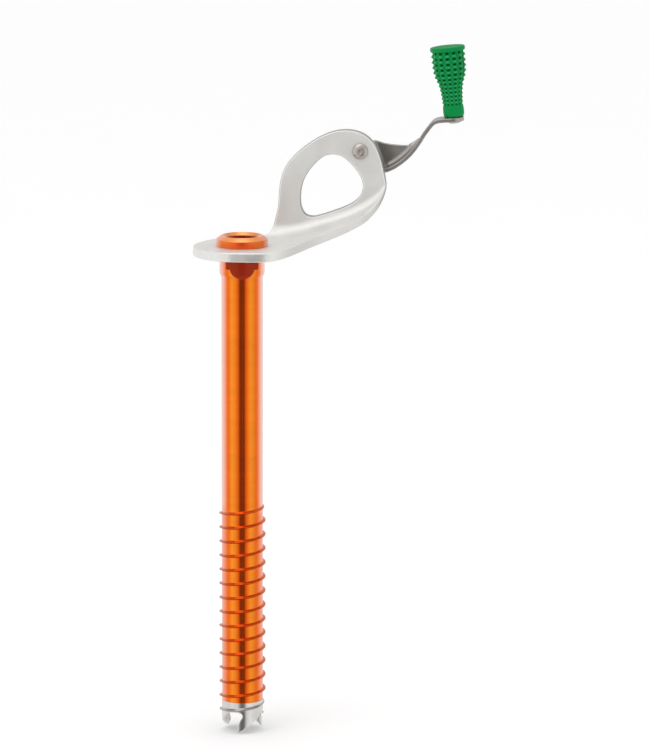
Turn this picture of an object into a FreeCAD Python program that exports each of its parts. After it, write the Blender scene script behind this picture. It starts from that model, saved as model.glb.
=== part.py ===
# Ice screw with a folding crank: toothed and threaded tube, bent hanger, crank with a turning knob.
# Frame: origin on the tube axis in the plane of the hanger's underside (the face that stops on the
# ice), +Z up the tube, +X towards the carabiner eye and the crank, -Y (front) the rivet head's side.
# Millimetres and degrees. Angles round the tube are counted from +X towards +Y.
import FreeCAD, Part
import math
import os

V = FreeCAD.Vector
origin, z_axis = V(0, 0, 0), V(0, 0, 1)
os.makedirs("parts", exist_ok=True)

# ---------------------------------------------------------------- driving dimensions
# tube and its joint with the tip
usable_length = 210.0        # hanger underside to tooth tips
tube_r = 8.9
bore_r = 7.0                 # the ice core passes up the bore
head_r = 9.7                 # larger head just under the hanger
head_len = 7.7               # plain length of the head
head_cone = 1.7              # cone from the head down to the tube
spigot_r = 8.7               # spigot that passes up through the hanger
spigot_flat = 7.95           # half distance across the spigot's two flats
spigot_top = 6.4
spigot_chamfer = 0.3
tip_joint_z = -196.65        # where the tube ends and the tip begins
tip_spigot_r = 8.0           # tip's spigot, inside the tube
tip_spigot_top = tip_joint_z + 9.0
dog_len = 2.4                # driving dogs of the tube, let into the tip
dog_half_deg = 13.0
dog_deg = (-166.0, 14.0)     # centres of the dogs round the tube

# thread, with its profile sunk a little into the tube
thread_pitch = 6.264
thread_turns = 15.03
thread_crest_r = 10.12
thread_root_r = 8.4
thread_base_half = 0.68      # half width at the tube's surface
thread_crest_half = 0.14
thread_end_z = -203.84       # centre of the thread's lower end
thread_end_deg = 28.0        # where the lower end is round the tube

# hanger
hanger_t = 4.0
eye_front_y = 28.0           # front face of the eye plate
eye_back_y = eye_front_y + hanger_t
bend_r_in = 6.0              # inside radius of the bend from base to eye
seat_recess_r = 10.0         # shallow recess in the underside round the head
seat_recess = 0.4

# head collar
collar_r = 11.12
collar_wall_top = 7.1        # top of the collar's straight wall
collar_top = 8.6
collar_rim_r = 8.8
collar_lip_r = 7.1

# crank pivot
pivot_x, pivot_z = 47.8, 41.8
rivet_head_r = 3.45
rivet_head_h = 1.7
rivet_shank_r = 2.5
rivet_tail_r = 3.7
rivet_tail_h = 1.3
washer_r = 5.0
friction_t = 0.5
sheet_t = 1.8                # crank sheet
spring_t = 0.8               # room taken by the dished spring washer
backing_t = 0.8
pivot_clear = 0.05           # radial running clearance on the pivot
face_gap = 0.02              # running gap between the ear and the washers each side of it

# the pivot's stack, from the hanger's eye plate towards +Y
ear_y = eye_back_y + friction_t
spring_y = ear_y + sheet_t
backing_y = spring_y + spring_t
tail_y = backing_y + backing_t

# crank
ear_r = 6.3                  # round end of the crank at the pivot
flange_front_y = 34.0        # front edge of the crank's flange
web_back_y = 43.5            # back face of the crank's web
web_front_y = web_back_y - sheet_t
web_fillet_r = 1.8

# knob, turning on an axle square to the crank's seat
knob_tilt_deg = 6.0          # knob axis leans towards -X
knob_len = 30.4
knob_bore_r = 2.1
knob_clear = 0.05
knob_y = (flange_front_y + web_back_y) / 2
knob_base = V(87.6, knob_y, 56.55)   # where the knob's axis meets the top of its washer
cap_r = 4.6
cap_seat = knob_len - 1.6    # underside of the cap, up the knob axis
pocket_r = 3.6               # pocket in the knob round the axle's upper head
pocket_floor = knob_len - 6.0
axle_r = 2.05
axle_head_r = 3.0            # upper head, inside the knob
axle_foot_r = 3.0            # lower head, under the crank
thrust_t = 0.4
thrust_r = 4.2
thrust_gap = 0.03            # gap between the thrust washer and the knob


# ---------------------------------------------------------------- helpers
def spline_edge(points, closed=False):
    curve = Part.BSplineCurve()
    curve.interpolate([V(*p) for p in points], PeriodicFlag=closed)
    return curve.toShape()


def line_edges(points):
    """Straight edges joining consecutive points."""
    return [Part.makeLine(V(*p), V(*q)) for p, q in zip(points[:-1], points[1:])]


def sorted_face(edges):
    return Part.Face(Part.Wire(Part.__sortEdges__(edges)))


def poly_face(points):
    corners = [V(*p) for p in points]
    return Part.Face(Part.makePolygon(corners + [corners[0]]))


def revolve_z(profile):
    """Turn (radius, z) points round the Z axis."""
    return poly_face([(r, 0, z) for r, z in profile]).revolve(origin, z_axis, 360)


def revolve_pivot(profile):
    """Turn (radius, y) points round the crank's pivot."""
    solid = poly_face([(r, y, 0) for r, y in profile]).revolve(origin, V(0, 1, 0), 360)
    solid.translate(V(pivot_x, 0, pivot_z))
    return solid


def revolve_knob(profile):
    """Turn (radius, distance up the knob axis) points round the knob's leaning axis."""
    solid = revolve_z(profile)
    solid.rotate(origin, V(0, 1, 0), -knob_tilt_deg)
    solid.translate(knob_base)
    return solid


def pivot_cylinder(radius, y, length):
    return Part.makeCylinder(radius, length, V(pivot_x, y, pivot_z), V(0, 1, 0))


def pivot_washer(radius, y, thickness):
    hole = pivot_cylinder(rivet_shank_r, y - 1, thickness + 2)
    return pivot_cylinder(radius, y, thickness).cut(hole)


def knob_axis_cylinder(radius, start, length):
    """Cylinder on the knob's axis, beginning at distance start up it."""
    tilt = math.radians(knob_tilt_deg)
    direction = V(-math.sin(tilt), 0, math.cos(tilt))
    return Part.makeCylinder(radius, length, knob_base + direction * start, direction)


def extrude_y(points, y0, y1):
    """(x, z) polygon made solid between y0 and y1."""
    return poly_face([(x, y0, z) for x, z in points]).extrude(V(0, y1 - y0, 0))


def sole_solid(shape):
    """The solid itself where the shape holds just one."""
    return shape.Solids[0] if len(shape.Solids) == 1 else shape


def largest_solid(shape):
    return max(shape.Solids, key=lambda solid: solid.Volume)


def save(name, shape, refine=True):
    if refine:
        shape = shape.removeSplitter()
    sole_solid(shape).exportStep("parts/%s.step" % name)


# ---------------------------------------------------------------- thread and driving dogs
def make_thread():
    """The whole thread; the tube and the tip each take their length of it."""
    helix = Part.makeHelix(thread_pitch, thread_turns * thread_pitch, tube_r)
    flank = (thread_base_half - thread_crest_half) / (thread_crest_r - tube_r)
    root_half = thread_base_half + flank * (tube_r - thread_root_r)
    profile = Part.makePolygon([V(thread_root_r, 0, -root_half),
                                V(thread_crest_r, 0, -thread_crest_half),
                                V(thread_crest_r, 0, thread_crest_half),
                                V(thread_root_r, 0, root_half),
                                V(thread_root_r, 0, -root_half)])
    thread = Part.Wire(helix.Edges).makePipeShell([profile], True, True)
    thread.rotate(origin, z_axis, thread_end_deg)
    thread.translate(V(0, 0, thread_end_z))
    return thread


def make_dogs(dog_ring):
    """The two sectors of the ring that drive the tip."""
    reach = 12
    z0, z1 = tip_joint_z - dog_len - 1, tip_joint_z + 1
    dogs = []
    for centre_deg in dog_deg:
        points = [(0, 0, z0)]
        for k in range(9):
            angle = math.radians(centre_deg - dog_half_deg + k * dog_half_deg / 4.0)
            points.append((reach * math.cos(angle), reach * math.sin(angle), z0))
        dogs.append(dog_ring.common(poly_face(points).extrude(V(0, 0, z1 - z0))))
    return dogs


# ---------------------------------------------------------------- tube
def make_tube(thread, dog_ring):
    body = revolve_z([
        (bore_r, spigot_top), (spigot_r - spigot_chamfer, spigot_top),
        (spigot_r, spigot_top - spigot_chamfer), (spigot_r, seat_recess),
        (head_r, seat_recess), (head_r, -head_len),
        (tube_r, -head_len - head_cone), (tube_r, tip_joint_z),
        (tip_spigot_r, tip_joint_z), (tip_spigot_r, tip_spigot_top), (bore_r, tip_spigot_top)])
    flat_depth = 6           # cutting box, more than the flat needs
    for x in (spigot_flat, -spigot_flat - flat_depth):
        body = body.cut(Part.makeBox(flat_depth, 40, spigot_top - seat_recess + 1,
                                     V(x, -20, seat_recess)))
    above_joint = Part.makeCylinder(14, 100, V(0, 0, tip_joint_z))
    tube = body.fuse(thread.common(above_joint))
    return sole_solid(tube.fuse(make_dogs(dog_ring)))


# ---------------------------------------------------------------- cutting tip
tooth_deg = (-97.0, 23.0, 143.0)   # tooth tips round the tube

# tooth outline on the outer surface: (degrees round from the tooth tip, z)
tooth_slope = [(0, -usable_length), (27.7, -207.5), (50, -205.3), (64, -203.9)]
tooth_gullet = [
    (58, -204.7), (62, -204.0), (75, -202.6), (86, -201.7), (97, -201.2), (110, -201.0),
    (123, -201.0), (129, -201.3), (133, -202.0), (134.5, -202.9), (132, -203.8),
    (128, -204.5), (124.5, -205.6), (121.5, -207.6), (120, -usable_length)]
slope_centre_deg, gullet_centre_deg = 32.0, 97.0
cutter_bottom_z = -213.0
edge_cone_r = 8.86           # base of the cone that sharpens the teeth
edge_cone_h = 2.72
edge_cone_below = 0.08       # how far the cone's base lies below the tooth tips


def tooth_cutter(outline, centre_deg, tip_deg):
    """Straight prism below the outline, square to the tube's surface at the centre angle."""
    points = [(tube_r * math.sin(math.radians(deg - centre_deg)), z) for deg, z in outline]
    points += [(points[-1][0], cutter_bottom_z), (points[0][0], cutter_bottom_z)]
    prism = poly_face([(3.0, y, z) for y, z in points]).extrude(V(12, 0, 0))
    prism.rotate(origin, z_axis, tip_deg + centre_deg)
    return prism


def make_cutting_tip(thread, dog_ring, tube):
    body = revolve_z([
        (bore_r, -usable_length), (tube_r, -usable_length), (tube_r, tip_joint_z),
        (tip_spigot_r, tip_joint_z), (tip_spigot_r, tip_spigot_top - 0.1),
        (tip_spigot_r - 0.5, tip_spigot_top), (bore_r, tip_spigot_top)])
    below_joint = Part.makeCylinder(14, 20, V(0, 0, tip_joint_z - 20))
    core = Part.makeCylinder(tip_spigot_r + 0.2, 40, V(0, 0, -230))
    tip = body.fuse(thread.common(below_joint).cut(core))
    cutters = []
    for tip_deg in tooth_deg:
        cutters.append(tooth_cutter(tooth_slope, slope_centre_deg, tip_deg))
        cutters.append(tooth_cutter(tooth_gullet, gullet_centre_deg, tip_deg))
    tip = tip.cut(cutters)
    # the teeth are ground to an edge from inside
    tip = tip.cut(Part.makeCone(edge_cone_r, bore_r, edge_cone_h,
                                V(0, 0, -usable_length - edge_cone_below)))
    tip = largest_solid(tip.cut(make_dogs(dog_ring)))
    return largest_solid(tip.cut(tube))


# ---------------------------------------------------------------- hanger
# The plate is flat from flat_from to flat_to in x, then climbs.
flat_from, flat_to = -26.0, 11.3
# underside of the climbing part: (x, z)
climb_points = [(flat_to, 0), (15, 0.25), (20, 0.95), (24, 1.9), (29, 3.35), (35, 5.1),
                (44, 8.15), (50, 11.0), (54, 13.5), (57, 16.1), (59.3, 19.6), (61.2, 25.0)]
# outline seen from above, from the +X end round the front and the -X end to the back: (x, y)
plan_outline = [
    (62.5, 34.0), (60.4, 31.6), (58.7, 29.3), (57.2, 27.7), (55.6, 26.4), (53.4, 24.9),
    (51.4, 23.1), (49.6, 21.0), (46.4, 17.9), (43.2, 14.9), (37, 8.6), (30.7, 1.6),
    (26.2, -5.0), (22.6, -10.6), (19.6, -14.6), (16.6, -17.4), (12.3, -19.4), (7, -20.3),
    (1.5, -20.7), (-4.0, -20.6), (-9.2, -19.0), (-13.6, -16.1), (-17.2, -12.1), (-19.7, -7.2),
    (-21.0, -1.8), (-20.8, 3.7), (-19.2, 9.0), (-16.9, 14.0), (-13.8, 18.3), (-10.2, 21.4),
    (-6.0, 23.4), (-1.8, 24.6), (2.2, 25.6), (5.0, 27.2), (6.5, 29.7), (7.0, 33.0)]
plan_back_y = 40.0           # the outline is closed behind the eye plate
# outline of the eye seen from the front, over the top from -X to +X: (x, z)
eye_outline = [
    (6.0, 4.6), (8.0, 5.5), (9.4, 7.6), (10.5, 11.5), (11.25, 13.5), (11.9, 16.4),
    (12.25, 20.5), (12.5, 24.4), (13.1, 28.6), (14.5, 33.0), (17.2, 37.4), (21.2, 41.5),
    (25.7, 45.0), (30.0, 47.7), (34.4, 49.7), (38.7, 50.8), (43.0, 51.0), (47.2, 50.2),
    (50.6, 48.5), (53.1, 46.2), (54.9, 43.5), (56.2, 40.4), (57.3, 37.0), (58.1, 33.3),
    (58.8, 29.8), (59.2, 26.3), (59.3, 23.5), (59.1, 21.0)]
# straight sides that take in the whole base below the eye: (x, z)
eye_closing = [eye_outline[-1], (62, 14), (62, -6), (-30, -6), (-30, 4.6), eye_outline[0]]
# carabiner hole: (x, z)
eye_hole = [
    (35.9, 40.2), (32.5, 39.5), (29.6, 37.4), (27.0, 34.6), (24.6, 31.4), (22.9, 27.9),
    (22.0, 24.2), (21.75, 20.2), (22.3, 16.5), (24.1, 13.7), (27.2, 12.9), (31.2, 13.8),
    (36.5, 15.6), (41.3, 17.5), (45.1, 19.6), (47.7, 22.2), (49.0, 25.6), (48.7, 29.0),
    (47.0, 32.3), (44.6, 35.4), (41.7, 38.1), (39.0, 39.7)]


def hanger_section():
    """L-shaped section across the plate: base, bend and eye plate, larger than the outlines."""
    base_y, eye_z = -30, 60
    bend_y, bend_z = eye_front_y - bend_r_in, hanger_t + bend_r_in

    def at(y, z):
        return V(flat_from, y, z)

    def bend_middle(radius):
        return at(bend_y + radius * math.sin(math.pi / 4), bend_z - radius * math.cos(math.pi / 4))

    return Part.Wire([
        Part.makeLine(at(base_y, 0), at(bend_y, 0)),
        Part.Arc(at(bend_y, 0), bend_middle(bend_r_in + hanger_t),
                 at(eye_back_y, bend_z)).toShape(),
        Part.makeLine(at(eye_back_y, bend_z), at(eye_back_y, eye_z)),
        Part.makeLine(at(eye_back_y, eye_z), at(eye_front_y, eye_z)),
        Part.makeLine(at(eye_front_y, eye_z), at(eye_front_y, bend_z)),
        Part.Arc(at(eye_front_y, bend_z), bend_middle(bend_r_in),
                 at(bend_y, hanger_t)).toShape(),
        Part.makeLine(at(bend_y, hanger_t), at(base_y, hanger_t)),
        Part.makeLine(at(base_y, hanger_t), at(base_y, 0))])


def formed_plate():
    """The section carried along the flat and up the climb without turning."""
    climb = Part.BSplineCurve()
    climb.interpolate(Points=[V(x, 0, z) for x, z in climb_points],
                      InitialTangent=V(1, 0, 0), FinalTangent=V(0.3, 0, 0.954))
    spine = Part.Wire([Part.makeLine(V(flat_from, 0, 0), V(flat_to, 0, 0)), climb.toShape()])
    pipe = Part.BRepOffsetAPI.MakePipeShell(spine)
    pipe.setTrihedronMode(origin, V(1, 0, 0))
    pipe.add(hanger_section())
    pipe.build()
    pipe.makeSolid()
    return pipe.shape()


def make_hanger():
    (right_x, right_y), (left_x, left_y) = plan_outline[0], plan_outline[-1]
    plan_edges = [spline_edge([(x, y, 0) for x, y in plan_outline])]
    plan_edges += line_edges([(left_x, left_y, 0), (left_x, plan_back_y, 0),
                              (right_x, plan_back_y, 0), (right_x, right_y, 0)])
    plan_solid = sorted_face(plan_edges).extrude(V(0, 0, 80))
    plan_solid.translate(V(0, 0, -5))

    eye_edges = [spline_edge([(x, 0, z) for x, z in eye_outline])]
    eye_edges += line_edges([(x, 0, z) for x, z in eye_closing])
    eye_solid = sorted_face(eye_edges).extrude(V(0, 90, 0))
    eye_solid.translate(V(0, -40, 0))

    hole_edge = spline_edge([(x, 0, z) for x, z in eye_hole], closed=True)
    hole = Part.Face(Part.Wire(hole_edge)).extrude(V(0, 30, 0))
    hole.translate(V(0, eye_front_y - 6, 0))

    hanger = formed_plate().common(plan_solid).common(eye_solid).cut(hole)
    # hole with two flats for the tube's spigot
    spigot_hole = Part.makeCylinder(spigot_r, 12, V(0, 0, -3)).common(
        Part.makeBox(2 * spigot_flat, 40, 20, V(-spigot_flat, -20, -5)))
    hanger = hanger.cut(spigot_hole)
    hanger = hanger.cut(Part.makeCylinder(seat_recess_r, seat_recess + 5, V(0, 0, -5)))
    hanger = hanger.cut(pivot_cylinder(rivet_shank_r, eye_front_y - 3, 10))
    return largest_solid(hanger)


# ---------------------------------------------------------------- head collar
def make_head_collar():
    return revolve_z([
        (spigot_r, hanger_t), (collar_r - 0.35, hanger_t), (collar_r, hanger_t + 0.35),
        (collar_r, collar_wall_top), (collar_r - 0.35, collar_wall_top + 0.38),
        (collar_rim_r + 0.25, collar_top - 0.1), (collar_rim_r, collar_top),
        (collar_rim_r - 0.25, collar_top - 0.1), (collar_lip_r + 0.15, 7.25),
        (collar_lip_r, 7.05), (collar_lip_r, spigot_top), (spigot_r, spigot_top)])


# ---------------------------------------------------------------- pivot: rivet and spring washer
def make_rivet():
    """Domed head with a small dimple in front, shank, and a flatter tail at the back."""
    head_edge = 0.35         # straight rim under the dome
    head_front_y = eye_front_y - rivet_head_h
    profile = [(rivet_head_r, eye_front_y)]
    for k in range(9):
        angle = math.radians(10 * k)
        profile.append((rivet_head_r * math.cos(angle),
                        eye_front_y - head_edge - (rivet_head_h - head_edge) * math.sin(angle)))
    profile += [(0.9, head_front_y), (0.65, head_front_y + 0.55), (0, head_front_y + 0.75)]
    tail_end_y = tail_y + rivet_tail_h
    profile += [(0, tail_end_y), (1.6, tail_end_y - 0.1), (rivet_tail_r - 0.9, tail_end_y - 0.35),
                (rivet_tail_r - 0.15, tail_y + 0.5), (rivet_tail_r, tail_y)]
    profile += [(rivet_shank_r, tail_y), (rivet_shank_r, eye_front_y)]
    return revolve_pivot(profile)


def make_spring_washer():
    """Dished ring: its inner edge bears towards the ear, its outer edge on the backing washer."""
    inner_y = spring_y + face_gap
    outer_r = washer_r - 0.4
    return revolve_pivot([
        (rivet_shank_r, inner_y), (rivet_shank_r + 0.4, inner_y), (outer_r, inner_y + 0.28),
        (outer_r, backing_y), (outer_r - 0.5, backing_y), (rivet_shank_r, inner_y + 0.5)])


# ---------------------------------------------------------------- crank lever
# top face of the flange, from the pivot end to the knob end: (x, z)
flange_top = [
    (52.4, 33.7), (55.2, 33.3), (57.9, 33.55), (60.8, 34.7), (63.8, 36.6), (66.7, 39.0),
    (69.0, 41.4), (70.9, 43.9), (72.5, 46.4), (74.0, 48.9), (75.6, 51.1), (77.05, 53.05),
    (78.7, 54.65), (81.0, 55.5), (84.1, 55.85), (88.0, 56.1), (91.9, 56.47)]
# upper edge of the web: (x, z)
web_top = [(51.8, 45.5), (54.2, 44.5), (56.5, 43.75), (59.0, 43.35), (61.5, 43.15), (64.5, 42.95),
           (67.3, 42.9), (69.5, 43.5), (71.5, 44.7), (72.6, 46.0)]
web_from_x, web_to_x = 54.5, 73.4    # the web follows the flange between these
# block between the ear and the web: (x, z)
step_outline = [(51.6, 45.6), (53.5, 45.5), (57.95, 33.5), (57.8, 32.2), (55.8, 31.9), (55.6, 34.8)]
# ear's edge beyond its round end: (x, z)
ear_side = [(55.2, 32.1), (57.8, 32.2), (57.95, 33.5), (53.5, 45.5)]
ear_start_deg, ear_sweep_deg = 55, 245
thrust_flat_r = 5.4          # flat on the seat for the thrust washer


def flange_underside(top_edge):
    """(x, z) points one sheet thickness to the lower right of the flange's top face."""
    curve = top_edge.Curve
    first, last = curve.FirstParameter, curve.LastParameter
    steps = 60
    points = []
    for k in range(steps + 1):
        parameter = first + (last - first) * k / steps
        point = curve.value(parameter)
        along = curve.tangent(parameter)[0]
        points.append((point.x + along.z * sheet_t, point.z - along.x * sheet_t))
    return points


def make_flange(top_edge, underside):
    bottom_edge = spline_edge([(x, 0, z) for x, z in underside[::4]])
    top, bottom = top_edge.Curve, bottom_edge.Curve
    edges = [top_edge, bottom_edge,
             Part.makeLine(top.value(top.FirstParameter), bottom.value(bottom.FirstParameter)),
             Part.makeLine(top.value(top.LastParameter), bottom.value(bottom.LastParameter))]
    width = web_back_y - flange_front_y
    flange = sorted_face(edges).extrude(V(0, width, 0))
    flange.translate(V(0, flange_front_y, 0))
    # half-round end under the knob, as wide as the flange
    end_r = width / 2
    end_x = flange_top[-1][0] - end_r
    beyond_end = Part.makeBox(60, 60, 200, V(end_x, 10, -50)).cut(
        Part.makeCylinder(end_r, 200, V(end_x, knob_y, -50)))
    return flange.common(Part.makeBox(300, 60, 200, V(-120, 10, -50)).cut(beyond_end))


def make_ear():
    points = []
    for k in range(25):
        angle = math.radians(ear_start_deg + ear_sweep_deg * k / 24.0)
        points.append((pivot_x + ear_r * math.cos(angle), pivot_z + ear_r * math.sin(angle)))
    return extrude_y(points + ear_side, ear_y, ear_y + sheet_t)


def is_inner_corner(edge):
    """Edge where the web's front face meets the underside of the flange."""
    box = edge.BoundBox
    return (abs(box.YMin - web_front_y) < 1e-3 and abs(box.YMax - web_front_y) < 1e-3
            and box.XMin > 55.0 and box.XMax > 66 and edge.Length > 6 and box.ZMin < 38)


def make_crank_lever():
    top_edge = spline_edge([(x, 0, z) for x, z in flange_top])
    underside = flange_underside(top_edge)
    flange = make_flange(top_edge, underside)
    web_bottom = [(x, z) for x, z in underside if web_from_x < x < web_to_x]
    web = extrude_y(web_top + [(web_to_x, 46.2)] + web_bottom[::-1] + [(56.0, 33.6)],
                    web_front_y, web_back_y)
    step = extrude_y(step_outline, ear_y, web_back_y)
    lever = make_ear().fuse([step, web, flange])
    lever = lever.cut(pivot_cylinder(rivet_shank_r + pivot_clear, 25, 30))
    # hole for the knob's axle, then a flat square to it for the thrust washer
    lever = sole_solid(lever.cut(knob_axis_cylinder(axle_r, -6, 8)))
    lever = largest_solid(lever.cut(knob_axis_cylinder(thrust_flat_r, -thrust_t, 3)))
    # guards the fillet, which may fail on the splined corner: the corner then stays sharp
    try:
        corners = [edge for edge in lever.Edges if is_inner_corner(edge)]
        filleted = lever.makeFillet(web_fillet_r, corners)
        if filleted.isValid() and len(filleted.Solids) == 1:
            lever = filleted.Solids[0]
    except Exception:
        pass
    return lever


# ---------------------------------------------------------------- knob, cap, axle, thrust washer
# smooth body of the knob: (distance up the axis, radius)
knob_body = [(0, 4.35), (4, 4.35), (6, 4.35), (8, 4.5), (10, 4.68), (12, 4.95), (14, 5.4),
             (16, 6.1), (18, 6.77), (20, 7.1), (22, 7.2), (31, 7.2)]
# grip ridges, distances up the axis
ridges = [6.1, 7.9, 9.6, 11.5, 13.3, 15.3, 17.2, 19.4, 21.65, 24.0, 26.4]
first_valley, last_valley = 5.2, 27.7
ridge_height = 0.42
shallow_valley, deep_valley = 0.05, 0.25
deep_from = 15               # ridges from here up have deep valleys under them


def knob_radius(station):
    """Radius of the smooth body, interpolated up the axis."""
    for (low, low_r), (high, high_r) in zip(knob_body[:-1], knob_body[1:]):
        if station <= high:
            return low_r + (high_r - low_r) * (station - low) / (high - low)


def make_knob():
    hole_r = knob_bore_r + knob_clear
    profile = [(hole_r, 0), (4.0, 0), (4.42, 0.45), (4.52, 2.0), (4.52, 4.2), (4.35, 4.9)]
    valleys = [first_valley] + [(low + high) / 2 for low, high in zip(ridges[:-1], ridges[1:])]
    for valley, ridge in zip(valleys, ridges):
        depth = shallow_valley if ridge < deep_from else deep_valley
        profile.append((knob_radius(valley) - depth, valley))
        profile.append((knob_radius(ridge) + ridge_height, ridge))
    profile += [(knob_radius(last_valley) - deep_valley, last_valley), (7.56, 28.9),
                (7.56, knob_len - 1.0), (7.3, knob_len - 0.35), (6.6, knob_len),
                (cap_r, knob_len), (cap_r, cap_seat), (pocket_r, cap_seat),
                (pocket_r, pocket_floor), (hole_r, pocket_floor)]
    return revolve_knob(profile)


def make_knob_cap():
    return revolve_knob([(0, cap_seat), (cap_r, cap_seat), (cap_r, knob_len - 0.15),
                         (cap_r - 0.2, knob_len + 0.05), (0, knob_len + 0.25)])


def make_knob_axle(lever):
    foot = -thrust_t - sheet_t           # top of the lower head
    head = pocket_floor + 0.1            # underside of the upper head
    axle = revolve_knob([
        (0, foot - 1.0), (1.6, foot - 0.95), (2.7, foot - 0.55), (axle_foot_r, foot - 0.25),
        (axle_foot_r, foot), (axle_r, foot), (axle_r, head), (axle_head_r, head),
        (axle_head_r, head + 1.5), (axle_head_r - 0.5, head + 2.0), (0, head + 2.0)])
    return largest_solid(axle.cut(lever))


def make_thrust_washer():
    return revolve_knob([(axle_r, -thrust_t), (thrust_r, -thrust_t),
                         (thrust_r, -thrust_gap), (axle_r, -thrust_gap)])


# ---------------------------------------------------------------- build and write
thread = make_thread()
dog_ring = revolve_z([(tip_spigot_r, tip_joint_z - dog_len), (tube_r, tip_joint_z - dog_len),
                      (tube_r, tip_joint_z + 1.0), (tip_spigot_r, tip_joint_z + 1.0)])
tube = make_tube(thread, dog_ring)
save("tube", tube, refine=False)
save("cutting_tip", make_cutting_tip(thread, dog_ring, tube), refine=False)
save("hanger", make_hanger())
save("head_collar", make_head_collar())
save("pivot_rivet", make_rivet())
save("crank_friction_washer", pivot_washer(washer_r, eye_back_y, friction_t - face_gap))
save("crank_spring_washer", make_spring_washer())
save("crank_backing_washer", pivot_washer(washer_r - 0.6, backing_y, backing_t))
lever = make_crank_lever()
save("crank_lever", lever)
save("knob", make_knob())
save("knob_cap", make_knob_cap())
save("knob_axle", make_knob_axle(lever))
save("knob_thrust_washer", make_thrust_washer())
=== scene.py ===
# Ice screw with a folding crank.
# The tube stands on the Z axis: the hanger's base lies on z = 0 and the teeth end at z = -210 mm.
# The hanger's upright eye and the crank lie behind the tube (+Y) and reach out to the right (+X);
# the camera looks from the front (-Y). Lengths are in millimetres unless said otherwise.
import math
from functools import cached_property

import bmesh
import bpy
import numpy as np
from mathutils import Matrix, Vector
from mathutils.geometry import delaunay_2d_cdt


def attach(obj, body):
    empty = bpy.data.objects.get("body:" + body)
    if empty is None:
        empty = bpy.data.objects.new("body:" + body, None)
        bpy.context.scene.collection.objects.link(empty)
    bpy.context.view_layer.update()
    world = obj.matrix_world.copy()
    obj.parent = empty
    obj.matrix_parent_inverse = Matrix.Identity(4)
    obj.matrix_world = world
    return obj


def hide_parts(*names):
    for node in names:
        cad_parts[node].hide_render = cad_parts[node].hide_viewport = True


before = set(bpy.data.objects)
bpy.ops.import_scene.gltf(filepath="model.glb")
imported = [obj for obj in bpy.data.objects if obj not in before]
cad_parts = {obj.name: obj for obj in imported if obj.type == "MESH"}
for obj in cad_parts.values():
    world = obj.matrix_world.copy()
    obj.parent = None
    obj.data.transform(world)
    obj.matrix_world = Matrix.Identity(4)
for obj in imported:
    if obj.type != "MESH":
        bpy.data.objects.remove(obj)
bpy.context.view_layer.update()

MM = 0.001
scene = bpy.context.scene

# ------------------------------------------------------------------ shared dimensions
TUBE_R = 8.9
BORE_R = 7.0
HEAD_R = 9.7
SPIGOT_R = 8.7
SPIGOT_FLAT = 7.95              # half the width over the spigot's two flats
SPIGOT_TOP = 6.4
JOINT_Z = -196.65               # where the tube meets the cutting tip
HANGER_T = 4.0                  # hanger sheet thickness
HANGER_Y = 28.0                 # front face of the hanger's upright eye
PIVOT_X, PIVOT_Z = 47.8, 41.8   # rivet the crank turns on
RIVET_R = 2.5
SHEET = 1.8                     # crank sheet thickness


# ------------------------------------------------------------------ objects
def make_object(name, mesh, sharp=None, merge=0.0):
    """Smooth-shaded object from (vertices in mm, faces); edges over `sharp` degrees stay sharp."""
    verts, faces = mesh
    data = bpy.data.meshes.new(name)
    data.from_pydata([tuple(v) for v in (np.asarray(verts) * MM)], [],
                     [tuple(int(i) for i in face) for face in faces])
    data.validate()
    bm = bmesh.new()
    bm.from_mesh(data)
    if merge:
        bmesh.ops.remove_doubles(bm, verts=bm.verts, dist=merge * MM)
    bmesh.ops.recalc_face_normals(bm, faces=bm.faces)
    bm.to_mesh(data)
    bm.free()
    for polygon in data.polygons:
        polygon.use_smooth = True
    if sharp is not None:
        data.set_sharp_from_angle(angle=math.radians(sharp))
    ob = bpy.data.objects.new(name, data)
    scene.collection.objects.link(ob)
    return ob


def place(ob, body, replaces):
    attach(ob, body)
    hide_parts(replaces)


def part(name, mesh, body, replaces, sharp=45, merge=0.0):
    ob = make_object(name, mesh, sharp, merge)
    place(ob, body, replaces)
    return ob


def point_attribute(ob, name, values):
    """Float attribute on the points; points past the end of `values` get 0."""
    full = np.zeros(len(ob.data.vertices), dtype=np.float32)
    full[:len(values)] = values
    ob.data.attributes.new(name, "FLOAT", "POINT").data.foreach_set("value", full)


# ------------------------------------------------------------------ meshes: (vertices, faces)
def join(*meshes):
    verts, faces, base = [], [], 0
    for part_verts, part_faces in meshes:
        verts.append(np.asarray(part_verts, float))
        faces += [tuple(base + i for i in face) for face in part_faces]
        base += len(part_verts)
    return np.vstack(verts), faces


def grid_faces(rows, columns, closed=False):
    """Quads over rows of points that wrap round; `closed` joins the last row to the first."""
    faces = []
    for i in range(rows if closed else rows - 1):
        row, following = i * columns, (i + 1) % rows * columns
        for j in range(columns):
            j2 = (j + 1) % columns
            faces.append((row + j, row + j2, following + j2, following + j))
    return faces


def capped_grid(rows, columns):
    faces = grid_faces(rows, columns)
    faces.append(tuple(range(columns)))
    faces.append(tuple(reversed(range((rows - 1) * columns, rows * columns))))
    return faces


def ring(radius, angle, z):
    """Points round the Z axis; radius and z may be numbers or arrays."""
    columns = np.broadcast_arrays(radius * np.cos(angle), radius * np.sin(angle), z)
    return np.stack(columns, 1)


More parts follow.
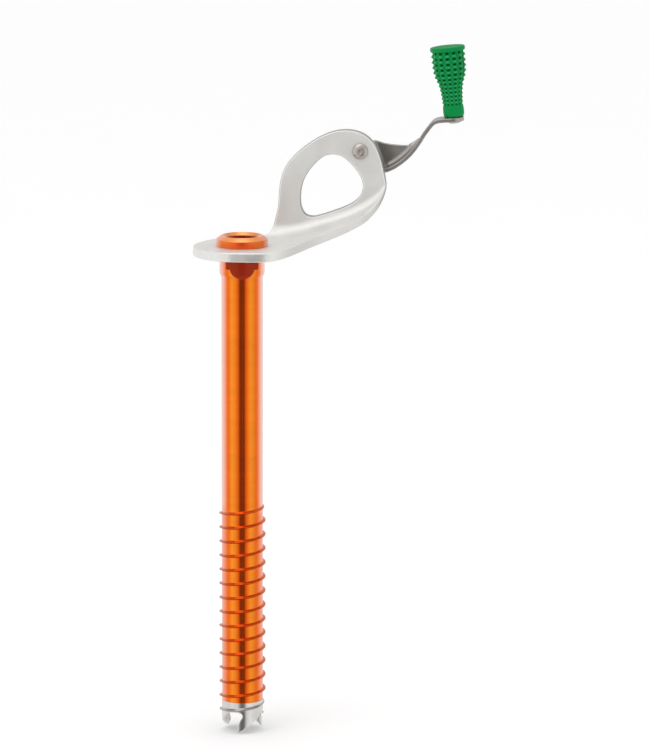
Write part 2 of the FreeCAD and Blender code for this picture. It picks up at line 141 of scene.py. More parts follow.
def lathe(profile, count, frame=None):
    """Closed (radius, height) profile turned about +Z; points of radius 0 become poles."""
    verts, rows = [], []
    for radius, height in profile:
        if radius < 1e-6:
            rows.append([len(verts)] * count)
            verts.append((0, 0, height))
        else:
            rows.append(list(range(len(verts), len(verts) + count)))
            for k in range(count):
                angle = 2 * math.pi * k / count
                verts.append((radius * math.cos(angle), radius * math.sin(angle), height))
    faces = []
    for i, row in enumerate(rows):
        following = rows[(i + 1) % len(rows)]
        if row[0] == row[1] and following[0] == following[1]:
            continue
        for k in range(count):
            k2 = (k + 1) % count
            face = list(dict.fromkeys((row[k], row[k2], following[k2], following[k])))
            if len(face) > 2:
                faces.append(face)
    verts = np.array(verts, float)
    return (verts if frame is None else frame(verts)), faces


def pivot_frame(points):
    """Carries a shape turned about +Z onto the crank pivot, its heights becoming y."""
    return np.stack([points[:, 0] + PIVOT_X, points[:, 2], -points[:, 1] + PIVOT_Z], 1)


# ------------------------------------------------------------------ 2-D lines
def round_poly(points, radii, segs):
    """Rounds a closed polygon's corners; a radius of 0 keeps the corner."""
    points = [np.array(p, float) for p in points]
    if not hasattr(radii, "__len__"):
        radii = [radii] * len(points)
    out = []
    for i, (corner, radius) in enumerate(zip(points, radii)):
        if radius <= 0:
            out.append(tuple(corner))
            continue
        back, ahead = points[i - 1] - corner, points[(i + 1) % len(points)] - corner
        back_len, ahead_len = np.linalg.norm(back), np.linalg.norm(ahead)
        back, ahead = back / back_len, ahead / ahead_len
        half = math.acos(float(np.clip(back @ ahead, -1, 1))) / 2
        if half > math.pi / 2 - 0.02:
            out.append(tuple(corner))
            continue
        trim = min(radius / math.tan(half), 0.48 * back_len, 0.48 * ahead_len)
        radius = trim * math.tan(half)
        bisector = (back + ahead) / np.linalg.norm(back + ahead)
        centre = corner + bisector * (radius / math.sin(half))
        start, end = corner + back * trim - centre, corner + ahead * trim - centre
        start_angle = math.atan2(start[1], start[0])
        end_angle = math.atan2(end[1], end[0])
        sweep = (end_angle - start_angle + math.pi) % (2 * math.pi) - math.pi
        for k in range(segs + 1):
            angle = start_angle + sweep * k / segs
            out.append((centre[0] + radius * math.cos(angle),
                        centre[1] + radius * math.sin(angle)))
    return out


def catmull(points, per, closed=False):
    """Centripetal spline through the points, `per` steps to a span."""
    pts = np.array(points, float)
    if closed:
        padded = np.vstack([pts[-1:], pts, pts[:2]])
    else:
        padded = np.vstack([2 * pts[:1] - pts[1:2], pts, 2 * pts[-1:] - pts[-2:-1]])

    def blend(t, t_a, t_b, a, b):
        return (t_b - t) / (t_b - t_a) * a + (t - t_a) / (t_b - t_a) * b

    out = []
    for p0, p1, p2, p3 in zip(padded, padded[1:], padded[2:], padded[3:]):
        knots = [0.0]
        for a, b in ((p0, p1), (p1, p2), (p2, p3)):
            knots.append(knots[-1] + math.sqrt(max(np.linalg.norm(b - a), 1e-9)))
        t0, t1, t2, t3 = knots
        for k in range(per):
            t = t1 + (t2 - t1) * k / per
            first = blend(t, t0, t1, p0, p1)
            middle = blend(t, t1, t2, p1, p2)
            last = blend(t, t2, t3, p2, p3)
            out.append(blend(t, t1, t2, blend(t, t0, t2, first, middle),
                             blend(t, t1, t3, middle, last)))
    if not closed:
        out.append(pts[-1])
    return np.array(out)


def resample(points, step, closed=True):
    """Evenly spaced points along a line."""
    pts = np.array(points, float)
    if closed:
        pts = np.vstack([pts, pts[:1]])
    lengths = np.linalg.norm(np.diff(pts, axis=0), axis=1)
    along = np.concatenate([[0], np.cumsum(lengths)])
    count = max(3, int(round(along[-1] / step)))
    stations = np.linspace(0, along[-1], count + 1)
    out = np.stack([np.interp(stations, along, pts[:, 0]),
                    np.interp(stations, along, pts[:, 1])], 1)
    return out[:-1] if closed else out


def smooth_loop(loop, times):
    for _ in range(times):
        loop = 0.25 * np.roll(loop, 1, 0) + 0.5 * loop + 0.25 * np.roll(loop, -1, 0)
    return loop


def signed_area2(loop):
    """Twice the enclosed area, positive when the loop runs counter-clockwise."""
    x, y = loop[:, 0], loop[:, 1]
    return float(np.sum(x * np.roll(y, -1) - np.roll(x, -1) * y))


def inside(points, loop):
    x, y = points[:, 0], points[:, 1]
    result = np.zeros(len(points), bool)
    for (x_a, y_a), (x_b, y_b) in zip(loop, np.roll(loop, 1, 0)):
        if y_a == y_b:
            continue
        result ^= (((y_a > y) != (y_b > y))
                   & (x < (x_b - x_a) * (y - y_a) / (y_b - y_a) + x_a))
    return result


def loop_dist(points, loop):
    """Distance of each point from a closed line."""
    spans = np.roll(loop, -1, 0) - loop
    squares = np.maximum((spans ** 2).sum(1), 1e-12)
    best = np.full(len(points), 1e9)
    for start, span, square in zip(loop, spans, squares):
        t = np.clip(((points - start) @ span) / square, 0, 1)
        best = np.minimum(best, np.linalg.norm(points - (start + t[:, None] * span), axis=1))
    return best


def inset_dirs(loop):
    """Unit directions into the material (outer loops counter-clockwise, holes clockwise)."""
    tangent = np.roll(loop, -1, 0) - np.roll(loop, 1, 0)
    tangent /= np.maximum(np.linalg.norm(tangent, axis=1, keepdims=True), 1e-9)
    return np.stack([-tangent[:, 1], tangent[:, 0]], 1)


# ------------------------------------------------------------------ plates
def cap_triangles(borders, spacing):
    """Fills borders[0] less its holes: grid points added inside, and faces by point number.

    Numbers count through the border points first, then the grid points.
    """
    def in_material(points):
        result = inside(points, borders[0])
        for hole in borders[1:]:
            result &= ~inside(points, hole)
        return result

    low, high = borders[0].min(0), borders[0].max(0)
    grid_x = np.arange(low[0] + spacing / 2, high[0], spacing)
    grid_y = np.arange(low[1] + spacing / 2, high[1], spacing)
    grid = np.stack(np.meshgrid(grid_x, grid_y, indexing="ij"), -1)
    grid[:, ::2, 0] += spacing * 0.25
    grid = grid.reshape(-1, 2)
    grid = grid[in_material(grid)]
    for border in borders:
        grid = grid[loop_dist(grid, border) > 0.45 * spacing]

    edges, base = [], 0
    for border in borders:
        count = len(border)
        edges += [(base + k, base + (k + 1) % count) for k in range(count)]
        base += count
    points = [Vector((float(x), float(y))) for x, y in np.vstack(borders + [grid])]
    result = delaunay_2d_cdt(points, edges, [], 0, 1e-7)
    out_points, out_faces, origins = result[0], result[2], result[3]
    source = [origin[0] if len(origin) else -1 for origin in origins]
    flat = np.array([(v.x, v.y) for v in out_points])
    keep = in_material(np.array([flat[list(face)].mean(0) for face in out_faces]))
    faces = [[source[i] for i in face] for face, good in zip(out_faces, keep) if good]
    return grid, [face for face in faces if -1 not in face]


def slab(loops, mapping, thick, bevel, spacing, segs, bevel_back=None, dirs=None, weights=None):
    """Solid plate over a 2-D outline.

    loops[0] is the outer line, the rest are holes. mapping(points, w) gives 3-D points, w running
    from +thick/2 at the front to -thick/2 at the back. Edges are rounded by bevel in front and
    bevel_back behind, along dirs and scaled by weights. Rim vertices come first: loop by loop,
    2 * (segs + 1) layers each.
    """
    bevel_back = bevel if bevel_back is None else bevel_back
    lines = []
    for i, loop in enumerate(loops):
        loop = np.array(loop, float)
        lines.append(loop if (signed_area2(loop) > 0) == (i == 0) else loop[::-1])
    dirs = dirs or [inset_dirs(line) for line in lines]
    weights = weights or [np.ones(len(line)) for line in lines]

    # (inset, w) of each layer of the rim, front to back
    quarter = [math.pi / 2 * k / segs for k in range(segs + 1)]
    profile = [(bevel * (1 - math.sin(a)), thick / 2 - bevel * (1 - math.cos(a)))
               for a in quarter]
    profile += [(bevel_back * (1 - math.cos(a)), -thick / 2 + bevel_back * (1 - math.sin(a)))
                for a in quarter]

    def inset(distance):
        return [line + inward * (distance * weight)[:, None]
                for line, inward, weight in zip(lines, dirs, weights)]

    layers = [inset(distance) for distance, _ in profile]
    verts, faces, layer_starts, total = [], [], [], 0
    for i, line in enumerate(lines):
        count = len(line)
        for (_, w), layer in zip(profile, layers):
            verts.append(mapping(layer[i], np.full(count, w)))
        faces += [tuple(total + q for q in face) for face in grid_faces(len(profile), count)]
        layer_starts.append([total + count * j for j in range(len(profile))])
        total += count * len(profile)

    for side in (0, -1):
        grid, triangles = cap_triangles(layers[side], spacing)
        verts.append(mapping(grid, np.full(len(grid), profile[side][1])))
        numbers = [starts[side] + k for starts, line in zip(layer_starts, lines)
                   for k in range(len(line))]
        numbers += range(total, total + len(grid))
        total += len(grid)
        faces += [tuple(numbers[i] for i in face) for face in triangles]
    return np.vstack(verts), faces


# ------------------------------------------------------------------ thread
# A helical ridge over tube and tip, split where they meet; t counts turns up from the lower end.
THREAD_PITCH = 6.264
CREST_R = 10.12
BASE_HALF, CREST_HALF = 0.68, 0.14      # half widths at the ridge's foot and crest
FOOT = BASE_HALF + 0.14                 # half width with the root fillet
THREAD_END_Z, THREAD_END_DEG = -203.84, 28.0
THREAD_TURNS = 15.03
THREAD_STEP = 2.5                       # degrees between sections
THREAD_LOW_R = TUBE_R - 0.03            # foot, just under the tube's surface
THREAD_BURIED_R = TUBE_R - 0.3          # hidden inner side
HALF_SECTION = [0.05, 0.12, 0.19, 0.28, 0.40, 0.52, BASE_HALF - 0.07, BASE_HALF, FOOT - 0.07, FOOT]
SECTION = [-dz for dz in reversed(HALF_SECTION)] + HALF_SECTION


def ridge(dz):
    """Ridge section, 0 at the foot and 1 at the crest, with a small root fillet."""
    root = 0.22         # reach of the fillet
    shoulder = 0.86     # where the crest starts to round
    x = (BASE_HALF - abs(dz)) / (BASE_HALF - CREST_HALF)
    if x < -root:
        return 0.0
    if x < root:
        x = (x + root) ** 2 / (4 * root)
    if x > shoulder:
        x = shoulder + 0.14 * math.sin(min((x - shoulder) / 0.24, 1.0) * math.pi / 2)
    return min(x, 1.0)


def thread_amount(t):
    """Share of the full ridge height after t turns."""
    amount = min(1.0, 0.8 + t / 0.02)                                   # blunt lower end
    amount *= 1.0 - 0.45 * max(0.0, 1 - abs((t - 0.93) / 0.11) ** 3)    # dip in the first turn
    tail = (THREAD_TURNS - t) / 0.17                                    # fades out at the top
    if tail < 1:
        amount *= max(tail, 0) ** 1.3
    return amount


def thread_strip(bottom, top):
    """The ridge between two heights."""
    count = int(THREAD_TURNS * 360 / THREAD_STEP)
    verts, rings = [], 0
    for i in range(count + 1):
        t = THREAD_TURNS * i / count
        centre = THREAD_END_Z + THREAD_PITCH * t
        if centre + FOOT <= bottom or centre - FOOT >= top:
            continue
        rise = (CREST_R - THREAD_LOW_R)
        amount = thread_amount(t)
        angle = math.radians(THREAD_END_DEG + 360 * t)
        section = []
        for dz in SECTION:
            z = centre + dz
            radius = THREAD_LOW_R + rise * ridge(dz) * amount
            held = min(max(z, bottom), top)
            if held != z:
                z = held
                radius = min(radius, THREAD_LOW_R + rise * ridge(z - centre) * amount)
            section.append((radius, z))
        section.append((THREAD_BURIED_R, section[-1][1]))
        section.append((THREAD_BURIED_R, section[0][1]))
        verts += [(r * math.cos(angle), r * math.sin(angle), z) for r, z in section]
        rings += 1
    return np.array(verts), capped_grid(rings, len(SECTION) + 2)


# ------------------------------------------------------------------ tube
SPIGOT_FOOT = 0.41              # the flats stop here
SOCKET_R = 8.0                  # widened mouth at the lower end
DOG_DEG = (-166.0, 14.0)        # the two driving dogs on the lower rim
DOG_HALF, DOG_LEN = 13.0, 2.4   # half width in degrees, length
# (radius, z) from the spigot's top down to the plain tube
TUBE_TOP = [
    (8.35, SPIGOT_TOP), (8.6, SPIGOT_TOP - 0.08), (SPIGOT_R, SPIGOT_TOP - 0.35), (SPIGOT_R, 0.42),
    (9.4, 0.4), (9.58, 0.33), (9.68, 0.15), (HEAD_R, -0.1), (HEAD_R, -0.8), (HEAD_R, -4.0),
    (HEAD_R, -7.2), (HEAD_R - 0.02, -7.5), (HEAD_R - 0.09, -7.85), (HEAD_R - 0.22, -8.2),
    (9.16, -8.8), (9.0, -9.15), (8.92, -9.5), (TUBE_R, -9.9)]


def tube_mesh():
    columns = 240
    degrees = np.arange(columns) * 360.0 / columns
    angle = np.radians(degrees)
    flat_r = SPIGOT_FLAT / np.maximum(np.abs(np.cos(angle)), 1e-6)
    rows = [(np.minimum(r, flat_r) if z > SPIGOT_FOOT else r, z) for r, z in TUBE_TOP]
    rows += [(TUBE_R, z) for z in np.linspace(-12.0, JOINT_Z + 1.6, 40)]
    rows.append((TUBE_R, JOINT_Z + 0.6))

    dog = np.zeros(columns)
    for middle in DOG_DEG:
        off = np.abs((degrees - middle + 180) % 360 - 180)
        dog = np.maximum(dog, np.clip((DOG_HALF + 0.8 - off) / 1.6, 0, 1))
    rim = JOINT_Z - DOG_LEN * dog
    rows += [(TUBE_R, rim + 0.14), (TUBE_R - 0.04, rim + 0.04), (TUBE_R - 0.13, rim),
             (SOCKET_R, rim), (SOCKET_R, JOINT_Z + 9.0), (BORE_R, JOINT_Z + 9.0)]
    rows += [(BORE_R, z) for z in np.linspace(JOINT_Z + 12, SPIGOT_TOP - 0.3, 20)]
    rows.append((BORE_R + 0.2, SPIGOT_TOP))
    wall = np.vstack([ring(r, angle, z) for r, z in rows])
    return join((wall, grid_faces(len(rows), columns, closed=True)), thread_strip(JOINT_Z, 1e9))


# ------------------------------------------------------------------ cutting tip
TEETH = (-97.0, 23.0, 143.0)            # degrees each third of the ring is turned by
THIRD_START, THIRD_END = 30, 150        # degrees
SEAM_Z = -207.3                         # lower end of the seams
SIDE_POINTS = 26
DEGREE = math.radians(1) * TUBE_R       # length of one degree round the tube
# lower edge of one third, with its tooth: (degrees, z)
TOOTH_EDGE = [
    (150, -207.3), (147.7, -207.45), (140, -208.2), (130, -209.15), (124, -209.7),
    (121.2, -209.95), (119.9, -209.9), (119.9, -209.3), (120.3, -207.9), (121.4, -206.8),
    (123.4, -205.7), (126.0, -204.9), (129.4, -204.2), (132.4, -203.6), (134.2, -202.9),
    (133.6, -202.1), (131.2, -201.5), (127.5, -201.15), (122, -201.0), (114, -201.0),
    (106, -201.05), (97, -201.2), (86, -201.7), (75, -202.6), (66, -203.6), (58, -204.5),
    (50, -205.3), (40, -206.3), (30, -207.3)]


def tip_outline():
    """Outline of one third as (length round the tube, z), with bevel directions and weights."""
    start, end = THIRD_START * DEGREE, THIRD_END * DEGREE
    edge = catmull([(degrees * DEGREE, z) for degrees, z in TOOTH_EDGE], 5)
    top = np.stack([np.linspace(start, end, 60), np.full(60, JOINT_Z)], 1)
    side_z = np.linspace(JOINT_Z, SEAM_Z, SIDE_POINTS)
    right = np.stack([np.full(SIDE_POINTS, end), side_z], 1)
    left = np.stack([np.full(SIDE_POINTS, start), side_z[::-1]], 1)
    loop = np.vstack([top[:-1], right[:-1], edge[:-1], left[:-1]])
    first = len(top) + len(right) - 2       # the toothed edge runs from first to last
    last = first + len(edge) - 1
    dirs = inset_dirs(loop[::-1])[::-1]
    dirs[first] = (0, 1)
    dirs[last] = (0, 1)
    # the joint and the seams stay square
    weights = np.ones(len(loop))
    weights[:first] = 0
    weights[last + 1:] = 0
    return loop[::-1], dirs[::-1], weights[::-1]


def tip_mapping(shift):
    thick = TUBE_R - BORE_R

    def mapping(points, w):
        degrees = points[:, 0] / DEGREE + shift
        # the teeth are ground to an edge from inside
        ground = np.clip((-207.36 - points[:, 1]) / 2.72, 0, 1)
        inner = BORE_R + ground * (8.80 - BORE_R)
        outward = (w / (thick / 2) + 1) / 2
        radius = inner + (TUBE_R - inner) * outward
        return ring(radius, np.radians(degrees), points[:, 1])
    return mapping


def tip_mesh():
    loop, dirs, weights = tip_outline()
    verts, faces = join(*[
        slab([loop], tip_mapping(shift), TUBE_R - BORE_R, bevel=0.12, bevel_back=0.10,
             spacing=0.55, segs=2, dirs=[dirs], weights=[weights]) for shift in TEETH])

    # the walls in the seams between thirds go; merging then welds the thirds
    def in_seam(face):
        corners = verts[list(face)]
        degrees = np.degrees(np.arctan2(corners[:, 1], corners[:, 0]))
        return any(np.all(np.abs((degrees - shift - THIRD_START + 180) % 360 - 180) < 0.02)
                   for shift in TEETH)
    faces = [face for face in faces if not in_seam(face)]
    # spigot that enters the tube's socket
    spigot = lathe([(BORE_R, JOINT_Z), (7.97, JOINT_Z), (7.97, JOINT_Z + 8.5),
                    (7.6, JOINT_Z + 8.9), (BORE_R, JOINT_Z + 8.9)], 96)
    return join((verts, faces), thread_strip(-1e9, JOINT_Z), spigot)


tip = part("tip_ring", tip_mesh(), "screw", "cutting_tip", sharp=48, merge=0.004)
tube = part("tube_body", tube_mesh(), "screw", "tube", sharp=50, merge=0.0005)

# ------------------------------------------------------------------ hanger
# Bent sheet worked in (x, s): s is the distance along its middle, back over the base, round the
# bend and up the eye.
BEND_IN = 6.0                               # inner radius of the bend
BEND_MID = BEND_IN + HANGER_T / 2
BEND_Y, BEND_Z = HANGER_Y - BEND_IN, HANGER_T + BEND_IN
BEND_LEN = BEND_MID * math.pi / 2
RIM_SEGS = 6
# (x, lift of the sheet)
RISE = [(7.6, 0), (11.3, 0), (15, 0.25), (20, 0.95), (24, 1.9), (29, 3.35), (35, 5.1),
        (44, 8.15), (50, 11.0), (54, 13.5), (57, 16.1), (59.3, 19.6), (61.2, 25.0)]
# base outline, (x, y), from the right end round the front to the left
BASE_EDGE = [
    (57.2, 27.7), (55.6, 26.4), (53.4, 24.9), (51.4, 23.1), (49.6, 21.0), (46.4, 17.9),
    (43.2, 14.9), (37, 8.6), (30.7, 1.6), (26.2, -5.0), (22.6, -10.6), (19.6, -14.6),
    (16.6, -17.4), (12.3, -19.4), (7, -20.3), (1.5, -20.7), (-4.0, -20.6), (-9.2, -19.0),
    (-13.6, -16.1), (-17.2, -12.1), (-19.7, -7.2), (-21.0, -1.8), (-20.8, 3.7), (-19.2, 9.0),
    (-16.9, 14.0), (-13.8, 18.3), (-10.2, 21.0)]
# left side of the bend, (x, s)
LEFT_BEND = [(-6.0, 22.6), (-1.8, 23.6), (2.2, 24.5), (5.6, 25.9), (8.0, 28.2), (9.5, 31.2),
             (10.4, 34.8)]
# eye outline, (x, z), up the left and down the right
EYE_EDGE = [
    (11.25, 13.5), (11.9, 16.4), (12.25, 20.5), (12.5, 24.4), (13.1, 28.6), (14.5, 33.0),
    (17.2, 37.4), (21.2, 41.5), (25.7, 45.0), (30.0, 47.7), (34.4, 49.7), (38.7, 50.8),
    (43.0, 51.0), (47.2, 50.2), (50.6, 48.5), (53.1, 46.2), (54.9, 43.5), (56.2, 40.4),
    (57.3, 37.0), (58.1, 33.3), (58.8, 29.8), (59.15, 26.3)]
# right side of the bend, (x, s)
RIGHT_BEND = [(58.95, 30.9), (58.2, 29.4)]
# hole in the eye, (x, z)
EYE_HOLE = [
    (35.9, 40.2), (32.5, 39.5), (29.6, 37.4), (27.0, 34.6), (24.6, 31.4), (22.9, 27.9),
    (22.0, 24.2), (21.75, 20.2), (22.3, 16.5), (24.1, 13.7), (27.2, 12.9), (31.2, 13.8),
    (36.5, 15.6), (41.3, 17.5), (45.1, 19.6), (47.7, 22.2), (49.0, 25.6), (48.7, 29.0),
    (47.0, 32.3), (44.6, 35.4), (41.7, 38.1), (39.0, 39.7)]

rise_line = catmull(RISE, 12)[12:]


def rise(x):
    return np.interp(x, rise_line[:, 0], rise_line[:, 1])


def s_of_y(y):
    y = np.asarray(y, float)
    bend = np.arcsin(np.clip((y - BEND_Y) / BEND_MID, 0, 1))
    return np.where(y <= BEND_Y, y, BEND_Y + BEND_MID * bend)


def s_of_z(x, z):
    above = np.asarray(z, float) - rise(x) - BEND_Z
    return np.where(above >= 0, BEND_Y + BEND_LEN + above,
                    BEND_Y + BEND_MID * np.arccos(np.clip(-above / BEND_MID, -1, 1)))


def hanger_map(points, w):
    x, s = points[:, 0], points[:, 1]
    bend = np.clip((s - BEND_Y) / BEND_MID, 0, math.pi / 2)
    y = np.where(s <= BEND_Y, s, BEND_Y + BEND_MID * np.sin(bend))
    z = np.where(s <= BEND_Y, HANGER_T / 2, BEND_Z - BEND_MID * np.cos(bend))
    z = np.where(s > BEND_Y + BEND_LEN, BEND_Z + (s - BEND_Y - BEND_LEN), z)
    y = y - np.sin(bend) * w
    z = z + np.cos(bend) * w
    z = z + rise(x)
    # small raised spot on the upper face, right of the tube
    spot = ((x - 19.6) / 1.5) ** 2 + ((s - 9.5) / 2.6) ** 2
    z = z + 0.35 * np.exp(-spot * 1.6) * (w > 1.9)
    return np.stack([x, y, z], 1)


def turn(count):
    return np.linspace(0, 2 * math.pi, count + 1)[:-1]


def pivot_circle(radius):
    return [(PIVOT_X + radius * math.cos(a), PIVOT_Z + radius * math.sin(a)) for a in turn(48)]


def hanger_loops():
    outline = [(x, float(s_of_y(y))) for x, y in BASE_EDGE] + LEFT_BEND
    outline += [(x, float(s_of_z(x, z))) for x, z in EYE_EDGE] + RIGHT_BEND
    outer = smooth_loop(resample(catmull(outline, 40, closed=True), 0.55), 2)
    hole = catmull(EYE_HOLE, 8, closed=True)
    hole = resample(np.stack([hole[:, 0], s_of_z(hole[:, 0], hole[:, 1])], 1), 0.45)
    spigot = []
    for a in turn(96):
        squeeze = min(1.0, SPIGOT_FLAT / max(abs(SPIGOT_R * math.cos(a)), 1e-6))
        spigot.append((squeeze * SPIGOT_R * math.cos(a), SPIGOT_R * math.sin(a)))
    rivet_hole = [(x, float(s_of_z(x, z))) for x, z in pivot_circle(RIVET_R)]
    return [outer, hole, np.array(spigot), np.array(rivet_hole)]


def make_hanger():
    loops = hanger_loops()
    mesh = slab(loops, hanger_map, HANGER_T, bevel=0.72, bevel_back=0.45, spacing=0.75,
                segs=RIM_SEGS)
    ob = part("hanger_plate", mesh, "screw", "hanger", sharp=40)
    # marks the cut edges, which are smoother than the blasted faces
    last = 2 * RIM_SEGS + 1
    wall = [np.full(len(loop), (min(k, last - k) / RIM_SEGS) ** 2)
            for loop in loops for k in range(last + 1)]
    point_attribute(ob, "wall", np.concatenate(wall))
    return ob


hanger = make_hanger()

# ------------------------------------------------------------------ collar
COLLAR = round_poly(
    [(8.72, HANGER_T), (11.12, HANGER_T), (11.12, 7.1), (8.95, 8.58), (8.55, 8.58), (7.2, 7.25),
     (7.1, 6.45), (8.72, 6.45)],
    [0, 0.3, 0.35, 0.18, 0.18, 0.15, 0.05, 0], segs=5)
collar = part("collar_ring", lathe(COLLAR, 160), "screw", "head_collar",
              sharp=50)

# ------------------------------------------------------------------ pivot rivet and washers
# the stack on the rivet, front to back
FRICTION_Y = HANGER_Y + HANGER_T
EAR_FRONT = FRICTION_Y + 0.5
SPRING_Y = EAR_FRONT + SHEET
BACKING_Y = SPRING_Y + 0.8
TAIL_Y = BACKING_Y + 0.8


def rivet_profile():
    """(radius, y) over the domed front head, with its centre boss, then the shank and tail."""
    front = HANGER_Y
    boss = [(0.0, front - 0.95), (0.35, front - 0.97), (0.62, front - 1.12),
            (0.80, front - 1.42), (0.98, front - 1.62), (1.3, front - 1.68)]
    dome = []
    for k in range(12):
        a = math.radians(68 - 68 * k / 11.0)
        dome.append((3.45 * math.cos(a) ** 0.9, front - 0.3 - 1.42 * math.sin(a)))
    rim = [(3.45, front - 0.12), (3.40, front)]
    tail = [(RIVET_R, front), (RIVET_R, TAIL_Y), (3.6, TAIL_Y), (3.7, TAIL_Y + 0.12),
            (3.55, TAIL_Y + 0.5), (2.8, TAIL_Y + 0.95), (1.6, TAIL_Y + 1.2), (0.0, TAIL_Y + 1.3)]
    return boss + dome + rim + tail


def flat_washer(radius, y, thick):
    return round_poly([(RIVET_R, y), (radius, y), (radius, y + thick), (RIVET_R, y + thick)],
                      [0.05, 0.12, 0.12, 0.05], segs=3)


SPRING_WASHER = round_poly(
    [(RIVET_R, SPRING_Y + 0.02), (2.9, SPRING_Y + 0.02), (4.6, SPRING_Y + 0.3),
     (4.6, BACKING_Y), (4.1, BACKING_Y), (RIVET_R, SPRING_Y + 0.52)], 0.06, segs=3)


def pivot_part(name, profile, replaces):
    return part(name, lathe(profile, 96, pivot_frame), "screw", replaces)


rivet = pivot_part("rivet", rivet_profile(), "pivot_rivet")
friction_disc = pivot_part("friction_disc", flat_washer(5.0, FRICTION_Y, 0.48),
                           "crank_friction_washer")
spring_disc = pivot_part("spring_disc", SPRING_WASHER, "crank_spring_washer")
backing_disc = pivot_part("backing_disc", flat_washer(4.4, BACKING_Y, 0.8),
                          "crank_backing_washer")

# ------------------------------------------------------------------ crank lever
# An upright ear on the pivot steps back to an upright web, whose lower edge meets a flange.
# top of the flange, (x, z)
FLANGE_TOP = [
    (52.4, 33.7), (55.2, 33.3), (57.9, 33.55), (60.8, 34.7), (63.8, 36.6), (66.7, 39.0),
    (69.0, 41.4), (70.9, 43.9), (72.5, 46.4), (74.0, 48.9), (75.6, 51.1), (77.05, 53.05),
    (78.7, 54.65), (81.0, 55.5), (84.1, 55.85), (88.0, 56.1), (91.9, 56.47)]
FLANGE_START = 0.6                          # along the flange
FLANGE_FRONT, FLANGE_BACK = 34.0, 43.5      # y
EAR_R = 6.3
EAR_HOLE_R = 2.56
EAR_Y, WEB_Y = EAR_FRONT + SHEET / 2, FLANGE_BACK - SHEET / 2
# the step between them: two bends and a flat
BEND_R, BEND_ANGLE = 1.5, math.radians(84)
STEP_FLAT = ((WEB_Y - EAR_Y - 2 * BEND_R * (1 - math.cos(BEND_ANGLE))) / math.sin(BEND_ANGLE))
STEP_BEND = BEND_R * BEND_ANGLE
STEP_LEN = 2 * STEP_BEND + STEP_FLAT
STEP_X = 2 * BEND_R * math.sin(BEND_ANGLE) + STEP_FLAT * math.cos(BEND_ANGLE)
# web's upper edge, (x, z), right to left
WEB_TOP = [(72.4, 45.7), (71.4, 44.6), (69.5, 43.45), (67.3, 42.9), (64.5, 42.9), (61.5, 43.12),
           (59.0, 43.35), (56.5, 43.8)]
# concave fillet between web and flange
COVE_R = 2.2
COVE_X = (56.5, 72.3)
COVE_TAPER = 3.0

top_line = resample(catmull(FLANGE_TOP, 12), 0.25, closed=False)
top_tangent = np.gradient(top_line, axis=0)
top_tangent /= np.linalg.norm(top_tangent, axis=1, keepdims=True)
top_normal = np.stack([-top_tangent[:, 1], top_tangent[:, 0]], 1)
mid_line = top_line - top_normal * SHEET / 2
mid_s = np.concatenate([[0], np.cumsum(np.linalg.norm(np.diff(mid_line, axis=0), axis=1))])


def flange_map(points, w):
    """Points are (distance along the flange, y)."""
    s = points[:, 0]
    x, z = (np.interp(s, mid_s, mid_line[:, i]) for i in (0, 1))
    normal_x, normal_z = (np.interp(s, mid_s, top_normal[:, i]) for i in (0, 1))
    return np.stack([x + normal_x * w, points[:, 1], z + normal_z * w], 1)


def flange_mesh():
    radius = (FLANGE_BACK - FLANGE_FRONT) / 2
    end = [(mid_s[-1] - radius + radius * math.cos(a),
            (FLANGE_FRONT + FLANGE_BACK) / 2 + radius * math.sin(a))
           for a in np.linspace(-math.pi / 2, math.pi / 2, 25)]
    outline = [(FLANGE_START, FLANGE_FRONT)] + end + [(FLANGE_START, FLANGE_BACK)]
    return slab([resample(outline, 0.35)], flange_map, SHEET, bevel=0.35, spacing=0.6, segs=3)


def web_start(z):
    """x where the step ends and the web begins."""
    return 53.75 + 0.368 * (44.36 - z)


def ear_point(x, z):
    return x - (web_start(z) - STEP_X), z


def web_point(x, z):
    return STEP_LEN + x - web_start(z), z


def strip_path(u):
    """Distance u from the step's first bend -> (x from there, y, direction)."""
    turned = np.clip(u / BEND_R, 0, BEND_ANGLE)
    x = np.where(u < 0, u, BEND_R * np.sin(turned))
    y = EAR_Y + BEND_R * (1 - np.cos(turned))
    flat = np.clip(u - STEP_BEND, 0, STEP_FLAT)
    x = x + flat * math.cos(BEND_ANGLE)
    y = y + flat * math.sin(BEND_ANGLE)
    back = np.clip((u - STEP_BEND - STEP_FLAT) / BEND_R, 0, BEND_ANGLE)
    x = x + BEND_R * (math.sin(BEND_ANGLE) - np.sin(BEND_ANGLE - back))
    y = y + BEND_R * (np.cos(BEND_ANGLE - back) - math.cos(BEND_ANGLE))
    x = x + np.maximum(u - STEP_LEN, 0)
    return x, y, turned - back


def strip_map(points, w):
    """Points are (u, z); w > 0 is the front of the sheet."""
    x, y, angle = strip_path(points[:, 0])
    start = web_start(points[:, 1]) - STEP_X
    return np.stack([start + x + np.sin(angle) * w, y - np.cos(angle) * w, points[:, 1]], 1)


